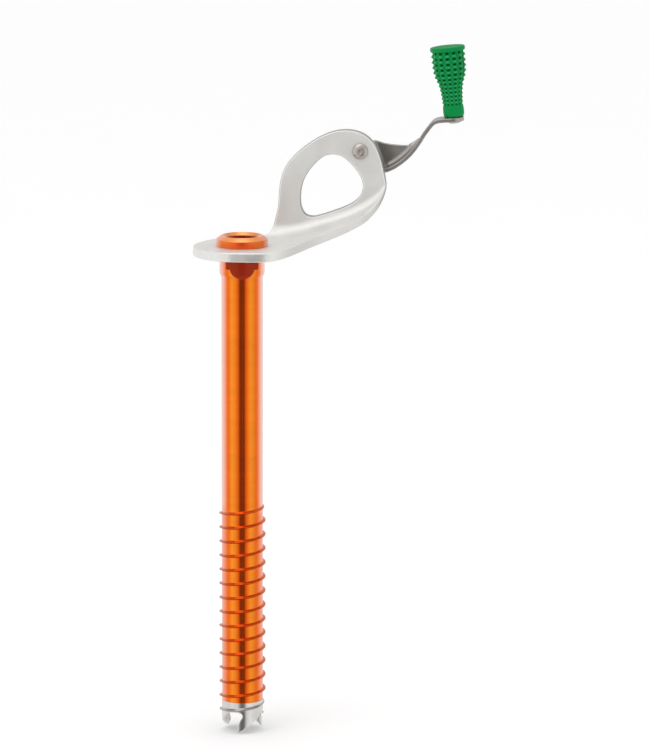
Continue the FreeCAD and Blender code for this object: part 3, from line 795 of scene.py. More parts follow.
def strip_mesh():
    """Ear, step and web as one bent strip."""
    outline = []
    for i in range(33):
        a = math.radians(62 + 236 * i / 32.0)
        outline.append(ear_point(PIVOT_X + EAR_R * math.cos(a), PIVOT_Z + EAR_R * math.sin(a)))
    # under the step
    outline += [ear_point(53.0, 34.2), (-0.2, 32.9), (STEP_BEND + STEP_FLAT / 2, 32.6),
                (STEP_LEN + 0.2, 32.6)]
    in_flange = top_line - top_normal * (SHEET * 0.6)
    lower = [(x, z) for x, z in in_flange if 58.8 < x < 72.6]
    outline += [web_point(x, z) for x, z in lower[::6] + WEB_TOP]
    # over the step
    outline += [(STEP_LEN, 44.7), (STEP_BEND + STEP_FLAT * 0.5, 45.2), (0.6, 45.7), (-0.6, 46.1)]
    loop = smooth_loop(resample(np.array(outline), 0.3), 3)
    hole = np.array([ear_point(x, z) for x, z in pivot_circle(EAR_HOLE_R)])
    return slab([loop, hole], strip_map, SHEET, bevel=0.3, spacing=0.45, segs=3)


def cove_mesh():
    face_y = FLANGE_BACK - SHEET
    start, end = COVE_X
    # (height over the flange, y)
    section = [(-0.5, face_y + 0.5), (COVE_R, face_y + 0.5), (COVE_R, face_y)]
    for i in range(1, 9):
        a = math.pi / 2 * i / 9
        section.append((COVE_R - COVE_R * math.sin(a), face_y - COVE_R + COVE_R * math.cos(a)))
    section += [(0.0, face_y - COVE_R), (-0.5, face_y - COVE_R)]
    verts, rows = [], 0
    for (x, z), (normal_x, normal_z) in zip(top_line, top_normal):
        if not start <= x <= end:
            continue
        rows += 1
        size = min(1.0, (x - start) / COVE_TAPER + 0.15, (end - x) / COVE_TAPER + 0.15)
        for height, y in section:
            height = height if height < 0 else height * size
            y = y if y > face_y else face_y - (face_y - y) * size
            verts.append((x + normal_x * height, y, z + normal_z * height))
    return np.array(verts), capped_grid(rows, len(section))


def remesh(ob, voxel):
    """Fuses overlapping solids into one skin."""
    modifier = ob.modifiers.new("remesh", "REMESH")
    modifier.mode = "VOXEL"
    modifier.voxel_size = voxel * MM
    modifier.adaptivity = 0.0
    depsgraph = bpy.context.evaluated_depsgraph_get()
    fused = bpy.data.meshes.new_from_object(ob.evaluated_get(depsgraph))
    ob.modifiers.clear()
    old = ob.data
    ob.data = fused
    bpy.data.meshes.remove(old)


def relax(data, times, step=0.5):
    """Laplacian smoothing, each pass followed by one outward to keep the volume."""
    count = len(data.vertices)
    points = np.empty(count * 3)
    data.vertices.foreach_get("co", points)
    points = points.reshape(-1, 3)
    edges = np.empty(len(data.edges) * 2, int)
    data.edges.foreach_get("vertices", edges)
    start, end = edges.reshape(-1, 2).T
    neighbours = np.zeros(count)
    np.add.at(neighbours, start, 1)
    np.add.at(neighbours, end, 1)
    for _ in range(times):
        for amount in (step, -step * 1.03):
            total = np.zeros_like(points)
            np.add.at(total, start, points[end])
            np.add.at(total, end, points[start])
            points = points + amount * (total / neighbours[:, None] - points)
    data.vertices.foreach_set("co", points.ravel())
    data.update()


def make_lever():
    ob = make_object("lever", join(flange_mesh(), strip_mesh(), cove_mesh()))
    remesh(ob, voxel=0.17)
    relax(ob.data, times=10)
    for polygon in ob.data.polygons:
        polygon.use_smooth = True
    place(ob, "crank", "crank_lever")
    return ob


lever = make_lever()

# ------------------------------------------------------------------ knob
# Worked along its own axis, height 0 at its foot, then leaned over by knob_frame.
KNOB_TILT = math.radians(6.0)
KNOB_BASE = np.array([87.6, 38.75, 56.55])
KNOB_AXIS = np.array([-math.sin(KNOB_TILT), 0.0, math.cos(KNOB_TILT)])
KNOB_LEN = 30.4
KNOB_RIM_R = 7.56
STUD_FOOT = 4.7         # the studs start here
STUD_COLS = 14
COL_POINTS = 28         # points round each column
# heights of the stud rows, then with the ends the spacing runs out to
STUD_ROWS = [6.1, 7.9, 9.6, 11.5, 13.3, 15.3, 17.2, 19.4, 21.65, 24.0, 26.4, 29.0]
STUD_CENTRES = np.array([4.4] + STUD_ROWS + [31.4])
# body of the grip, (height, radius)
GRIP = [(0, 4.05), (0.25, 4.3), (0.7, 4.46), (1.6, 4.54), (3.4, 4.52), (4.4, 4.42), (5.0, 4.33),
        (6, 4.32), (8, 4.44), (10, 4.62), (12, 4.89), (14, 5.34), (16, 6.02), (18, 6.68),
        (20, 7.02), (22, 7.14), (26, 7.18), (31, 7.2)]
# rim, cap recess and bore, (radius, height); the first and last points only guide the rounding
KNOB_TOP = round_poly(
    [(KNOB_RIM_R, 29.2), (KNOB_RIM_R, KNOB_LEN), (4.75, KNOB_LEN), (4.75, KNOB_LEN - 1.6),
     (3.6, KNOB_LEN - 1.6), (3.6, KNOB_LEN - 6.0), (2.15, KNOB_LEN - 6.0), (2.15, 0.0),
     (4.05, 0.0)],
    [0, 0.95, 0.15, 0, 0, 0, 0, 0.1, 0], segs=7)[1:-1]


def knob_frame(points):
    across = np.array([math.cos(KNOB_TILT), 0, math.sin(KNOB_TILT)])
    depth = np.array([0, 1.0, 0])
    return KNOB_BASE + points[:, :1] * across + points[:, 1:2] * depth + points[:, 2:3] * KNOB_AXIS


def stud_relief(height, body_r, across, core):
    """One ring of pyramid studs with hollows between: (added radius, hollow, lit slope).

    across and core tell how far each point lies into a column, broadly and narrowly.
    """
    row = int(np.argmin(np.abs(STUD_CENTRES[1:-1] - height))) + 1
    centre = STUD_CENTRES[row]
    above = height > centre
    gap = STUD_CENTRES[row + 1] - centre if above else centre - STUD_CENTRES[row - 1]
    top_row = row == len(STUD_CENTRES) - 2
    off = 0.0 if top_row and above else abs(height - centre) / gap
    # depth and tip height grow with the knob's width
    size = float(np.interp(height, [5, 12, 16, 19, 28.4], [0.50, 0.62, 0.86, 1.08, 1.15]))
    tip_height = float(np.interp(height, [STUD_FOOT, 5.4, 15, 17, 27.5, 28.9],
                                 [0.0, 0.24, 0.26, 0.34, 0.36, KNOB_RIM_R - 7.18]))
    slope = max(0.0, 1.0 - (off / 0.5)) ** 0.9
    stud = tip_height - size * (0.78 * (1.0 - across) + 0.90 * across * (1.0 - slope ** 0.85))
    pit_centre = centre + gap * 0.60 if above else centre - gap * 0.40
    pit_off = (height - pit_centre) / gap
    hollow = core * math.exp(-abs(pit_off / 0.19) ** 2.4)
    crest = core * math.exp(-((height - centre - 0.13 * gap) / (0.13 * gap)) ** 2)
    added = stud - size * 0.62 * hollow
    if height > 28.2:
        # the rim closes over the top row of hollows
        rim = min(1.0, (height - 28.2) / 0.75)
        rim = rim * rim * (3 - 2 * rim)
        added = added * (1 - rim) + (KNOB_RIM_R - body_r) * rim
        hollow = hollow * (1 - rim)
        crest = crest * (1 - rim)
    return added * min(1.0, (height - STUD_FOOT) / 0.45), hollow, crest


def make_knob():
    count = STUD_COLS * COL_POINTS
    angle = np.arange(count) * 2 * math.pi / count
    body = catmull(GRIP, 10)
    column = np.abs((angle * STUD_COLS / (2 * math.pi) - 0.055) % 1.0 - 0.5)
    across = np.exp(-(column / 0.33) ** 4.0)
    core = np.exp(-(column / 0.23) ** 3.0)
    heights = (list(np.linspace(0.0, 1.0, 8)) + list(np.linspace(1.2, 4.6, 10))
               + list(np.arange(4.72, 29.0, 0.105)) + [29.05, 29.15, 29.2])
    rows, hollows, crests = [], [], []
    for height in heights:
        radius = np.interp(height, body[:, 0], body[:, 1])
        hollow = crest = np.zeros(count)
        if height > STUD_FOOT:
            added, hollow, crest = stud_relief(height, radius, across, core)
            radius = radius + added
        rows.append(ring(radius, angle, height))
        hollows.append(hollow)
        crests.append(crest)
    rows += [ring(radius, angle, height) for radius, height in KNOB_TOP]
    mesh = knob_frame(np.vstack(rows)), grid_faces(len(rows), count, closed=True)
    ob = part("knob_grip", mesh, "knob_body", "knob", sharp=60)
    # depth of the hollows and the lit slopes, for the shader's painted shade and highlight
    point_attribute(ob, "hollow", np.concatenate(hollows))
    point_attribute(ob, "crest", np.concatenate(crests))
    return ob


# (radius, height) along the knob's axis
THRUST_T = 0.4                      # room for the thrust washer under the knob
LEVER_Z = -THRUST_T - SHEET         # underside of the flange
PIN_R = 2.04
GRIP_CAP = round_poly([(0, KNOB_LEN - 1.6), (4.68, KNOB_LEN - 1.6), (4.68, KNOB_LEN - 0.05),
                       (0, KNOB_LEN + 0.22)], [0, 0.1, 0.25, 0], segs=4)
GRIP_PIN = round_poly(
    [(0, LEVER_Z - 1.0), (1.6, LEVER_Z - 0.95), (2.5, LEVER_Z - 0.7), (2.95, LEVER_Z - 0.3),
     (3.0, LEVER_Z + 0.1), (PIN_R, LEVER_Z + 0.1), (PIN_R, KNOB_LEN - 5.9), (3.0, KNOB_LEN - 5.9),
     (3.0, KNOB_LEN - 4.4), (2.5, KNOB_LEN - 3.9), (0, KNOB_LEN - 3.9)],
    [0, 0.4, 0.3, 0.1, 0, 0, 0, 0, 0.1, 0.1, 0], segs=3)
GRIP_WASHER = round_poly([(2.06, -THRUST_T), (4.1, -THRUST_T), (4.1, -0.04), (2.06, -0.04)],
                         0.06, segs=2)

knob = make_knob()
grip_cap = part("grip_cap", lathe(GRIP_CAP, 96, knob_frame), "knob_body", "knob_cap")
grip_pin = part("grip_pin", lathe(GRIP_PIN, 64, knob_frame), "crank", "knob_axle")
grip_washer = part("grip_washer", lathe(GRIP_WASHER, 64, knob_frame), "crank",
                   "knob_thrust_washer")


# ------------------------------------------------------------------ shader graphs
def srgb(*channels):
    """0-255 sRGB to a linear colour."""
    def linear(c):
        c = c / 255
        return c / 12.92 if c <= 0.04045 else ((c + 0.055) / 1.055) ** 2.4
    return tuple(linear(c) for c in channels) + (1.0,)


class Graph:
    """Adds nodes to an emptied tree; each call returns the new node's output."""

    def __init__(self, tree):
        self.tree = tree
        tree.nodes.clear()

    def node(self, kind, **settings):
        node = self.tree.nodes.new(kind)
        for key, value in settings.items():
            setattr(node, key, value)
        return node

    def put(self, socket, value):
        """Links an output, or sets a plain value."""
        if hasattr(value, "is_output"):
            self.tree.links.new(value, socket)
        else:
            socket.default_value = value

    def math(self, operation, a, b=0.0):
        node = self.node("ShaderNodeMath", operation=operation)
        self.put(node.inputs[0], a)
        self.put(node.inputs[1], b)
        return node.outputs[0]

    def times(self, first, *others):
        for other in others:
            first = self.math("MULTIPLY", first, other)
        return first

    def inverse(self, value):
        return self.math("SUBTRACT", 1.0, value)

    def vmath(self, operation, a, b=None):
        node = self.node("ShaderNodeVectorMath", operation=operation)
        self.put(node.inputs[0], a)
        if b is not None:
            self.put(node.inputs[1], b)
        return node.outputs["Value" if operation in ("DOT_PRODUCT", "LENGTH") else "Vector"]

    def range(self, value, over, to=(0.0, 1.0), interpolation="LINEAR"):
        """Maps the span `over` to the span `to`, clamped."""
        node = self.node("ShaderNodeMapRange", interpolation_type=interpolation)
        self.put(node.inputs["Value"], value)
        for key, limit in zip(("From Min", "From Max", "To Min", "To Max"), (*over, *to)):
            node.inputs[key].default_value = limit
        return node.outputs[0]

    def ramp(self, value, stops, interpolation="LINEAR"):
        """Stops are (position, grey or colour)."""
        node = self.node("ShaderNodeValToRGB")
        node.color_ramp.interpolation = interpolation
        self.put(node.inputs[0], value)
        stops = [(at, tuple(c) + (1,) if hasattr(c, "__len__") else (c, c, c, 1))
                 for at, c in stops]
        elements = node.color_ramp.elements
        elements[0].position, elements[0].color = stops[0]
        elements[1].position, elements[1].color = stops[-1]
        for at, colour in stops[1:-1]:
            elements.new(at).color = colour
        return node.outputs[0]

    def blend(self, amount, a, b, data_type, first):
        node = self.node("ShaderNodeMix", data_type=data_type)
        for i, value in ((0, amount), (first, a), (first + 1, b)):
            self.put(node.inputs[i], value)
        return node

    def mix(self, amount, a, b):
        return self.blend(amount, a, b, "RGBA", 6).outputs[2]

    def mix_value(self, amount, a, b):
        return self.blend(amount, a, b, "FLOAT", 2).outputs[0]


class Material(Graph):
    """A Principled material; lengths in it are in metres."""

    def __init__(self, name):
        self.material = bpy.data.materials.new(name)
        self.material.use_nodes = True
        super().__init__(self.material.node_tree)
        output = self.node("ShaderNodeOutputMaterial")
        self.shader = self.node("ShaderNodeBsdfPrincipled")
        self.put(output.inputs[0], self.shader.outputs[0])

    @cached_property
    def geometry(self):
        return self.node("ShaderNodeNewGeometry").outputs

    @cached_property
    def position(self):
        return self.node("ShaderNodeTexCoord").outputs["Object"]

    def set(self, **inputs):
        for key, value in inputs.items():
            self.put(self.shader.inputs[key.replace("_", " ")], value)

    def noise(self, detail, roughness, scale=1.0, stretch=None):
        vector = self.position
        if stretch:
            mapping = self.node("ShaderNodeMapping")
            self.put(mapping.inputs[0], vector)
            mapping.inputs["Scale"].default_value = stretch
            vector = mapping.outputs[0]
        node = self.node("ShaderNodeTexNoise")
        for key, value in (("Vector", vector), ("Scale", scale), ("Detail", detail),
                           ("Roughness", roughness)):
            self.put(node.inputs[key], value)
        return node.outputs["Fac"]

    def attribute(self, name):
        return self.node("ShaderNodeAttribute", attribute_name=name).outputs["Fac"]

    def tint(self, colour, other, mask, amount):
        return self.mix(self.times(mask, amount), colour, other)

    def edge(self, low, high):
        """1 on convex edges, from the mesh's own curvature."""
        return self.range(self.geometry["Pointiness"], over=(low, high))

    def bump(self, height, distance, strength):
        node = self.node("ShaderNodeBump")
        self.put(node.inputs["Height"], height)
        node.inputs["Distance"].default_value = distance
        node.inputs["Strength"].default_value = strength
        return node.outputs[0]

    def facing(self):
        node = self.node("ShaderNodeLayerWeight")
        node.inputs[0].default_value = 0.5
        return node.outputs["Facing"]

    def xyz(self, vector):
        node = self.node("ShaderNodeSeparateXYZ")
        self.put(node.inputs[0], vector)
        return node.outputs

    def z(self):
        return self.xyz(self.position)[2]

    def normal_z(self):
        return self.xyz(self.geometry["Normal"])[2]

    def radius(self):
        """Distance from the tube's axis."""
        return self.vmath("LENGTH", self.vmath("MULTIPLY", self.position, (1.0, 1.0, 0.0)))

    def level_cos(self):
        """Cosine between surface and viewer as seen from above."""
        surface, viewer = [
            self.vmath("NORMALIZE", self.vmath("MULTIPLY", self.geometry[key], (1.0, 1.0, 0.0)))
            for key in ("Normal", "Incoming")]
        return self.vmath("DOT_PRODUCT", surface, viewer)

    def set_turned(self, anisotropic):
        """Stretches highlights across the turning marks round Z."""
        tangent = self.node("ShaderNodeTangent", direction_type="RADIAL", axis="Z")
        self.set(Anisotropic=anisotropic, Anisotropic_Rotation=0.25, Tangent=tangent.outputs[0])


# ------------------------------------------------------------------ materials
# painted shade colour for inside the bore
BORE_SHADE = (0.26, 0.006, 0.006, 1)
THREAD_SPAN = (0.00894, 0.00915)    # radius over which the thread leaves the tube


def anodised_surface(mat, colour, painted_sheen):
    """Turning marks, worn edges and the painted sheen, a pale painted reflection where the view
    grazes; returns colour and roughness.
    """
    turning = mat.noise(stretch=(40, 40, 2600), detail=2, roughness=0.5)
    broad = mat.noise(stretch=(60, 60, 260), detail=3, roughness=0.5)
    grain = mat.noise(scale=5200, detail=2, roughness=0.6)
    # slow change of tone
    shade = mat.range(broad, over=(0.3, 0.7), to=(0.95, 1.04))
    grey = mat.node("ShaderNodeCombineXYZ")
    for i in range(3):
        mat.put(grey.inputs[i], shade)
    colour = mat.vmath("MULTIPLY", colour, grey.outputs[0])
    patchy = mat.range(mat.noise(scale=900, detail=4, roughness=0.6), over=(0.42, 0.62),
                       to=(0.15, 1.0))
    wear = mat.times(mat.edge(0.56, 0.70), patchy)
    colour = mat.tint(colour, srgb(252, 170, 100), wear, amount=0.32)
    # painted reflection: the surface turns pale where the view grazes it
    colour = mat.mix(painted_sheen, colour, srgb(250, 205, 192))
    roughness = mat.math("ADD", mat.range(broad, over=(0.3, 0.7), to=(0.17, 0.22)),
                         mat.range(grain, over=(0.3, 0.7), to=(-0.02, 0.02)))
    height = mat.math("ADD", mat.times(turning, 1.0), mat.times(grain, 0.35))
    mat.set(Normal=mat.bump(height, distance=0.000010, strength=0.28), Coat_Roughness=0.12)
    return colour, roughness


def tube_material():
    mat = Material("anodised_orange_turned")
    # view angle judged round the axis only, so a view from above keeps the colour
    level = mat.range(mat.math("ABSOLUTE", mat.normal_z()), over=(0.90, 0.97))
    around = mat.math("MAXIMUM", mat.inverse(mat.times(0.982, mat.level_cos())), 0.0)
    grazing = mat.math("ADD", mat.times(around, mat.inverse(level)), mat.times(level, 0.28))
    # the anodised orange with painted reflection: deep red where the tube faces the viewer, as if
    # mirroring the dark surround there, a painted highlight band further round, and a paler
    # painted sheen as the view grazes it
    colour = mat.ramp(grazing, [
        (0.0, (0.76, 0.026, 0.016)), (0.010, (0.79, 0.060, 0.012)), (0.030, (0.82, 0.12, 0.004)),
        (0.055, (0.84, 0.155, 0.006)), (0.080, (0.86, 0.225, 0.016)), (0.15, (0.87, 0.250, 0.022)),
        (0.22, (0.86, 0.175, 0.006)), (0.27, (0.855, 0.145, 0.004)), (0.33, (0.855, 0.150, 0.006)),
        (1.0, (0.855, 0.165, 0.011))])
    painted_sheen = mat.ramp(grazing, [(0.0, 0.0), (0.30, 0.0), (0.357, 0.12), (0.426, 0.36), (0.50, 0.57),
                              (0.577, 0.68), (0.74, 0.82), (1.0, 1.0)])
    # thread: painted shade on its downward faces, and little of the painted sheen
    thread = mat.times(mat.range(mat.radius(), over=THREAD_SPAN),
                       mat.range(mat.z(), over=(-0.09, -0.08), to=(1.0, 0.0)))
    upward = mat.range(mat.normal_z(), over=(-0.45, 0.30))
    thread_colour = mat.mix(upward, (0.21, 0.012, 0.004, 1), (0.74, 0.125, 0.012, 1))
    colour = mat.mix(thread, colour, thread_colour)
    painted_sheen = mat.times(painted_sheen, mat.inverse(mat.times(thread, 0.88)))
    # the ridges above and below throw orange back onto the threaded length
    threaded = mat.range(mat.z(), over=(-0.114, -0.108), to=(0.5, 0.0))
    painted_sheen = mat.times(painted_sheen, mat.inverse(threaded))
    colour, roughness = anodised_surface(mat, colour, painted_sheen)
    # painted shade: dark red down inside the bore
    bore = mat.range(mat.radius(), over=(0.00725, 0.0075), to=(1.0, 0.0))
    colour = mat.tint(colour, BORE_SHADE, bore, amount=0.9)
    # shade thrown on the head by the sheet above it: half its angle against height
    height = mat.range(mat.z(), over=(-0.0100, 0.0))
    angle = mat.math("ARCCOSINE", mat.level_cos())
    half_angle = mat.ramp(height, [
        (0.0, 0.0), (0.052, 0.0), (0.065, 0.13), (0.09, 0.19), (0.13, 0.27), (0.19, 0.37),
        (0.26, 0.45), (0.33, 0.51), (0.38, 0.555), (0.474, 0.565), (0.479, 0.81), (1.0, 0.81)])
    shadow = mat.range(mat.math("SUBTRACT", half_angle, angle), over=(-0.018, 0.018))
    colour = mat.tint(colour, (0.30, 0.018, 0.004, 1), shadow, amount=0.96)
    mat.set(Base_Color=colour, Roughness=roughness, Coat_Weight=0.05,
            Metallic=mat.math("SUBTRACT", 0.95, mat.times(shadow, 0.90)),
            Specular_IOR_Level=mat.math("SUBTRACT", 0.5, mat.times(shadow, 0.42)))
    mat.set_turned(anisotropic=0.6)
    return mat


def collar_material():
    mat = Material("anodised_orange_collar")
    # painted reflection: deeper red where the collar faces the viewer, lighter orange and then a
    # pale painted sheen as the view grazes it
    grazing = mat.facing()
    colour = mat.ramp(grazing, [(0.0, (0.86, 0.085, 0.006)), (0.06, (0.86, 0.11, 0.006)),
                                (0.22, (0.86, 0.17, 0.010)), (1.0, (0.86, 0.17, 0.012))])
    painted_sheen = mat.ramp(grazing, [(0.0, 0.0), (0.42, 0.0), (0.577, 0.35), (0.74, 0.6), (1.0, 0.9)])
    colour, roughness = anodised_surface(mat, colour, painted_sheen)
    # mouth of the bore: painted shade going down into it
    mouth = mat.range(mat.radius(), over=(0.00715, 0.00735), to=(1.0, 0.0))
    colour = mat.tint(colour, BORE_SHADE, mouth, amount=0.9)
    # chamfer and lip catch the overhead light
    normal_z = mat.normal_z()
    lit = mat.times(mat.range(normal_z, over=(0.30, 0.55)),
                    mat.range(normal_z, over=(0.93, 0.99), to=(1.0, 0.0)),
                    mat.range(mat.level_cos(), over=(0.35, 0.98)),
                    mat.inverse(mouth))
    colour = mat.tint(colour, srgb(255, 205, 130), lit, amount=0.45)
    mat.set(Base_Color=colour, Roughness=mat.math("ADD", roughness, 0.12), Coat_Weight=0.12,
            Metallic=mat.math("SUBTRACT", 0.55, mat.times(mouth, 0.35)))
    return mat


def hanger_material():
    mat = Material("blasted_aluminium")
    wall = mat.attribute("wall")
    faced = mat.inverse(wall)
    blast = mat.noise(scale=4200, detail=3, roughness=0.65)
    pebbles = mat.node("ShaderNodeTexVoronoi")
    mat.put(pebbles.inputs["Vector"], mat.position)
    pebbles.inputs["Scale"].default_value = 3000
    broad = mat.noise(scale=90, detail=4, roughness=0.55)
    streak = mat.noise(stretch=(900, 120, 120), detail=3, roughness=0.6)
    # blasted faces: slow change of tone, paler edges, rubbed patches
    colour = mat.mix(mat.range(broad, over=(0.3, 0.7)), srgb(222, 221, 217), srgb(230, 229, 226))
    pale_edge = mat.times(mat.edge(0.56, 0.66), 0.15, faced)
    colour = mat.mix(pale_edge, colour, srgb(244, 244, 242))
    patches = mat.noise(scale=420, detail=5, roughness=0.7)
    rubbed = mat.times(mat.range(patches, over=(0.62, 0.72), to=(0.0, 0.35)), faced)
    colour = mat.mix(rubbed, colour, srgb(196, 195, 190))
    streaks = mat.range(streak, over=(0.35, 0.65), to=(-0.04, 0.04))
    roughness = mat.math("ADD", mat.range(broad, over=(0.3, 0.7), to=(0.36, 0.44)),
                         mat.times(streaks, faced))
    # the eye's rounded rims: a painted highlight line next to the face, painted grey shade where
    # they turn away
    normal = mat.xyz(mat.geometry["Normal"])
    steep_z = mat.math("ABSOLUTE", normal[2])
    steep_y = mat.math("ABSOLUTE", normal[1])
    eye = mat.range(mat.xyz(mat.position)[1], over=(0.0276, 0.0282))
    rim_highlight = mat.times(mat.range(steep_y, over=(0.80, 0.86)),
                       mat.range(steep_y, over=(0.955, 0.985), to=(1.0, 0.0)), eye)
    colour = mat.tint(colour, srgb(252, 252, 250), rim_highlight, amount=0.85)
    grey = mat.times(mat.range(steep_y, over=(0.76, 0.84), to=(1.0, 0.0)), eye)
    colour = mat.tint(colour, srgb(128, 128, 124), grey, amount=0.72)
    # painted shade on the cut edges that face right and turn away from the viewer
    turned = mat.times(mat.range(mat.facing(), over=(0.12, 0.62)),
                       mat.range(normal[0], over=(0.35, 0.8)), wall)
    colour = mat.tint(colour, srgb(158, 150, 145), turned, amount=0.6)
    # cut edge of the base plate: smoother than the blasted faces
    cut = mat.times(mat.range(mat.xyz(mat.position)[1], over=(0.0195, 0.0215), to=(1.0, 0.0)),
                    mat.range(steep_z, over=(0.25, 0.5), to=(1.0, 0.0)))
    blast = mat.times(blast, mat.inverse(wall))
    pebble = mat.times(pebbles.outputs["Distance"], mat.inverse(wall))
    height = mat.math("ADD", blast, mat.times(pebble, 0.6))
    mat.set(Base_Color=colour, Specular_IOR_Level=0.4,
            Metallic=mat.math("ADD", 0.42, mat.times(cut, 0.20)),
            Roughness=mat.math("SUBTRACT", roughness, mat.times(cut, 0.12)),
            Normal=mat.bump(height, distance=0.00004, strength=0.5))
    return mat


def tip_shading(mat, colour):
    """Painted shade: darkens the thread, most on its downward faces, and the inside of the ring.
    """
    radius = mat.radius()
    upward = mat.range(mat.normal_z(), over=(-0.6, 0.5), to=(0.85, 0.35))
    thread = mat.times(mat.range(radius, over=THREAD_SPAN), upward)
    colour = mat.mix(thread, colour, srgb(120, 120, 118))
    within = mat.range(radius, over=(0.0072, 0.0086), to=(0.45, 0.0))
    return mat.mix(within, colour, srgb(120, 118, 114))


def steel_material(name, base, roughness, brush=(2600, 2600, 2600), bump=0.5, shading=None):
    """brush stretches the fine noise; roughness is a (low, high) span."""
    mat = Material(name)
    broad = mat.noise(scale=140, detail=4, roughness=0.55)
    fine = mat.noise(stretch=brush, detail=3, roughness=0.55)
    grain = mat.noise(scale=5200, detail=2, roughness=0.6)
    dark = [c - 16 for c in base]
    colour = mat.mix(mat.range(broad, over=(0.32, 0.68)), srgb(*dark), srgb(*base))
    colour = mat.tint(colour, srgb(235, 232, 226), mat.edge(0.53, 0.62), amount=0.7)
    if shading:
        colour = shading(mat, colour)
    height = mat.math("ADD", mat.times(fine, 0.9), mat.times(grain, 0.4))
    mat.set(Base_Color=colour, Metallic=1.0,
            Roughness=mat.math("ADD", mat.range(broad, over=(0.3, 0.7), to=roughness),
                               mat.range(fine, over=(0.3, 0.7), to=(-0.02, 0.02))),
            Normal=mat.bump(height, distance=0.00002, strength=bump))
    return mat


def tip_material():
    mat = steel_material("ground_tip_steel", (220, 218, 215), roughness=(0.20, 0.26),
                         brush=(30, 30, 3000), bump=0.22, shading=tip_shading)
    mat.set_turned(anisotropic=0.5)
    return mat


def knob_shading(mat, colour):
    """Painted shade in the hollows and painted highlight on the lit slopes, from the knob's
    attributes.
    """
    hollow = mat.range(mat.attribute("hollow"), over=(0.12, 0.75), to=(0.0, 0.86))
    colour = mat.mix(hollow, colour, srgb(0, 44, 22))
    return mat.tint(colour, srgb(96, 206, 156), mat.attribute("crest"), amount=0.36)


def plastic_material(name, dark, light, edge, roughness, specular, cavity, shading=None):
    """dark, light and edge are sRGB colours; cavity is how much painted shade darkens concave
    corners.
    """
    mat = Material(name)
    broad = mat.noise(scale=160, detail=4, roughness=0.55)
    fine = mat.noise(scale=3400, detail=3, roughness=0.6)
    colour = mat.mix(mat.range(broad, over=(0.3, 0.7)), srgb(*dark), srgb(*light))
    colour = mat.tint(colour, srgb(*edge), mat.edge(0.53, 0.66), amount=0.5)
    # painted shade in concave corners
    concave = mat.range(mat.geometry["Pointiness"], over=(0.40, 0.50), to=(1.0, 0.0))
    deep = [int(c * 0.45) for c in dark]
    colour = mat.tint(colour, srgb(*deep), concave, amount=cavity)
    if shading:
        colour = shading(mat, colour)
    mat.set(Base_Color=colour, Metallic=0.0, Specular_IOR_Level=specular,
            Roughness=mat.math("ADD", mat.range(broad, over=(0.3, 0.7), to=roughness),
                               mat.range(fine, over=(0.3, 0.7), to=(-0.05, 0.05))),
            Normal=mat.bump(fine, distance=0.00002, strength=0.5))
    return mat


def paint(mat, *obs):
    for ob in obs:
        ob.data.materials.clear()
        ob.data.materials.append(mat.material)
        for polygon in ob.data.polygons:
            polygon.material_index = 0


paint(tube_material(), tube)
paint(collar_material(), collar)
paint(hanger_material(), hanger)
paint(tip_material(), tip)
paint(steel_material("formed_spring_steel", (177, 173, 169), roughness=(0.30, 0.40),
                     brush=(400, 2600, 400)), lever)
paint(steel_material("rivet_steel", (192, 185, 178), roughness=(0.24, 0.34)), rivet, grip_pin)
paint(steel_material("washer_steel", (196, 194, 190), roughness=(0.28, 0.38),
                     brush=(500, 3200, 500)), spring_disc, backing_disc)
paint(plastic_material("moulded_green", dark=(0, 133, 63), light=(0, 143, 71), edge=(0, 172, 98),
                       roughness=(0.44, 0.54), specular=0.10, cavity=0.4, shading=knob_shading),
      knob, grip_cap)
paint(plastic_material("washer_nylon", dark=(44, 43, 42), light=(54, 53, 52), edge=(92, 90, 88),
                       roughness=(0.45, 0.55), specular=0.4, cavity=0.55),
      friction_disc, grip_washer)

# ------------------------------------------------------------------ stage, light and camera
# From here on lengths are in metres.
CAMERA_AZIMUTH = 6.5    # degrees
azimuth = math.radians(CAMERA_AZIMUTH)
camera_right = Vector((math.cos(azimuth), math.sin(azimuth), 0))
camera_forward = Vector((-math.sin(azimuth), math.cos(azimuth), 0))


def floor_material():
    mat = Material("floor_pale")
    grey = 0.86
    mottle = mat.noise(scale=14, detail=4, roughness=0.5)
    colour = mat.mix(mottle, (grey * 0.985,) * 3 + (1,), (grey,) * 3 + (1,))
    mat.set(Base_Color=colour, Roughness=0.85, Specular_IOR_Level=0.2,
            Emission_Color=(1, 1, 1, 1), Emission_Strength=0.20)
    return mat


def make_floor(radius=7.0, z=-0.2106):
    bm = bmesh.new()
    bm.faces.new([bm.verts.new((radius * math.cos(a), radius * math.sin(a), z))
                  for a in turn(72)])
    data = bpy.data.meshes.new("floor")
    bm.to_mesh(data)
    bm.free()
    floor = bpy.data.objects.new("floor", data)
    scene.collection.objects.link(floor)
    floor.data.materials.append(floor_material().material)
    floor.visible_glossy = False


def make_key_light():
    """Large soft lamp, high on the camera's left."""
    swing = math.radians(CAMERA_AZIMUTH - 42)
    elevation = math.radians(52)
    target = Vector((0.01, 0, -0.06))
    distance = 1.3
    light = bpy.data.lights.new("soft_key", "AREA")
    light.shape = "RECTANGLE"
    light.size = light.size_y = 0.9
    light.energy = 3.0
    ob = bpy.data.objects.new("soft_key", light)
    toward = Vector((math.sin(swing) * math.cos(elevation), -math.cos(swing) * math.cos(elevation),
                     math.sin(elevation)))
    ob.location = target + toward * distance
    ob.rotation_mode = "QUATERNION"
    ob.rotation_quaternion = (-toward).to_track_quat("-Z", "Y")
    scene.collection.objects.link(ob)


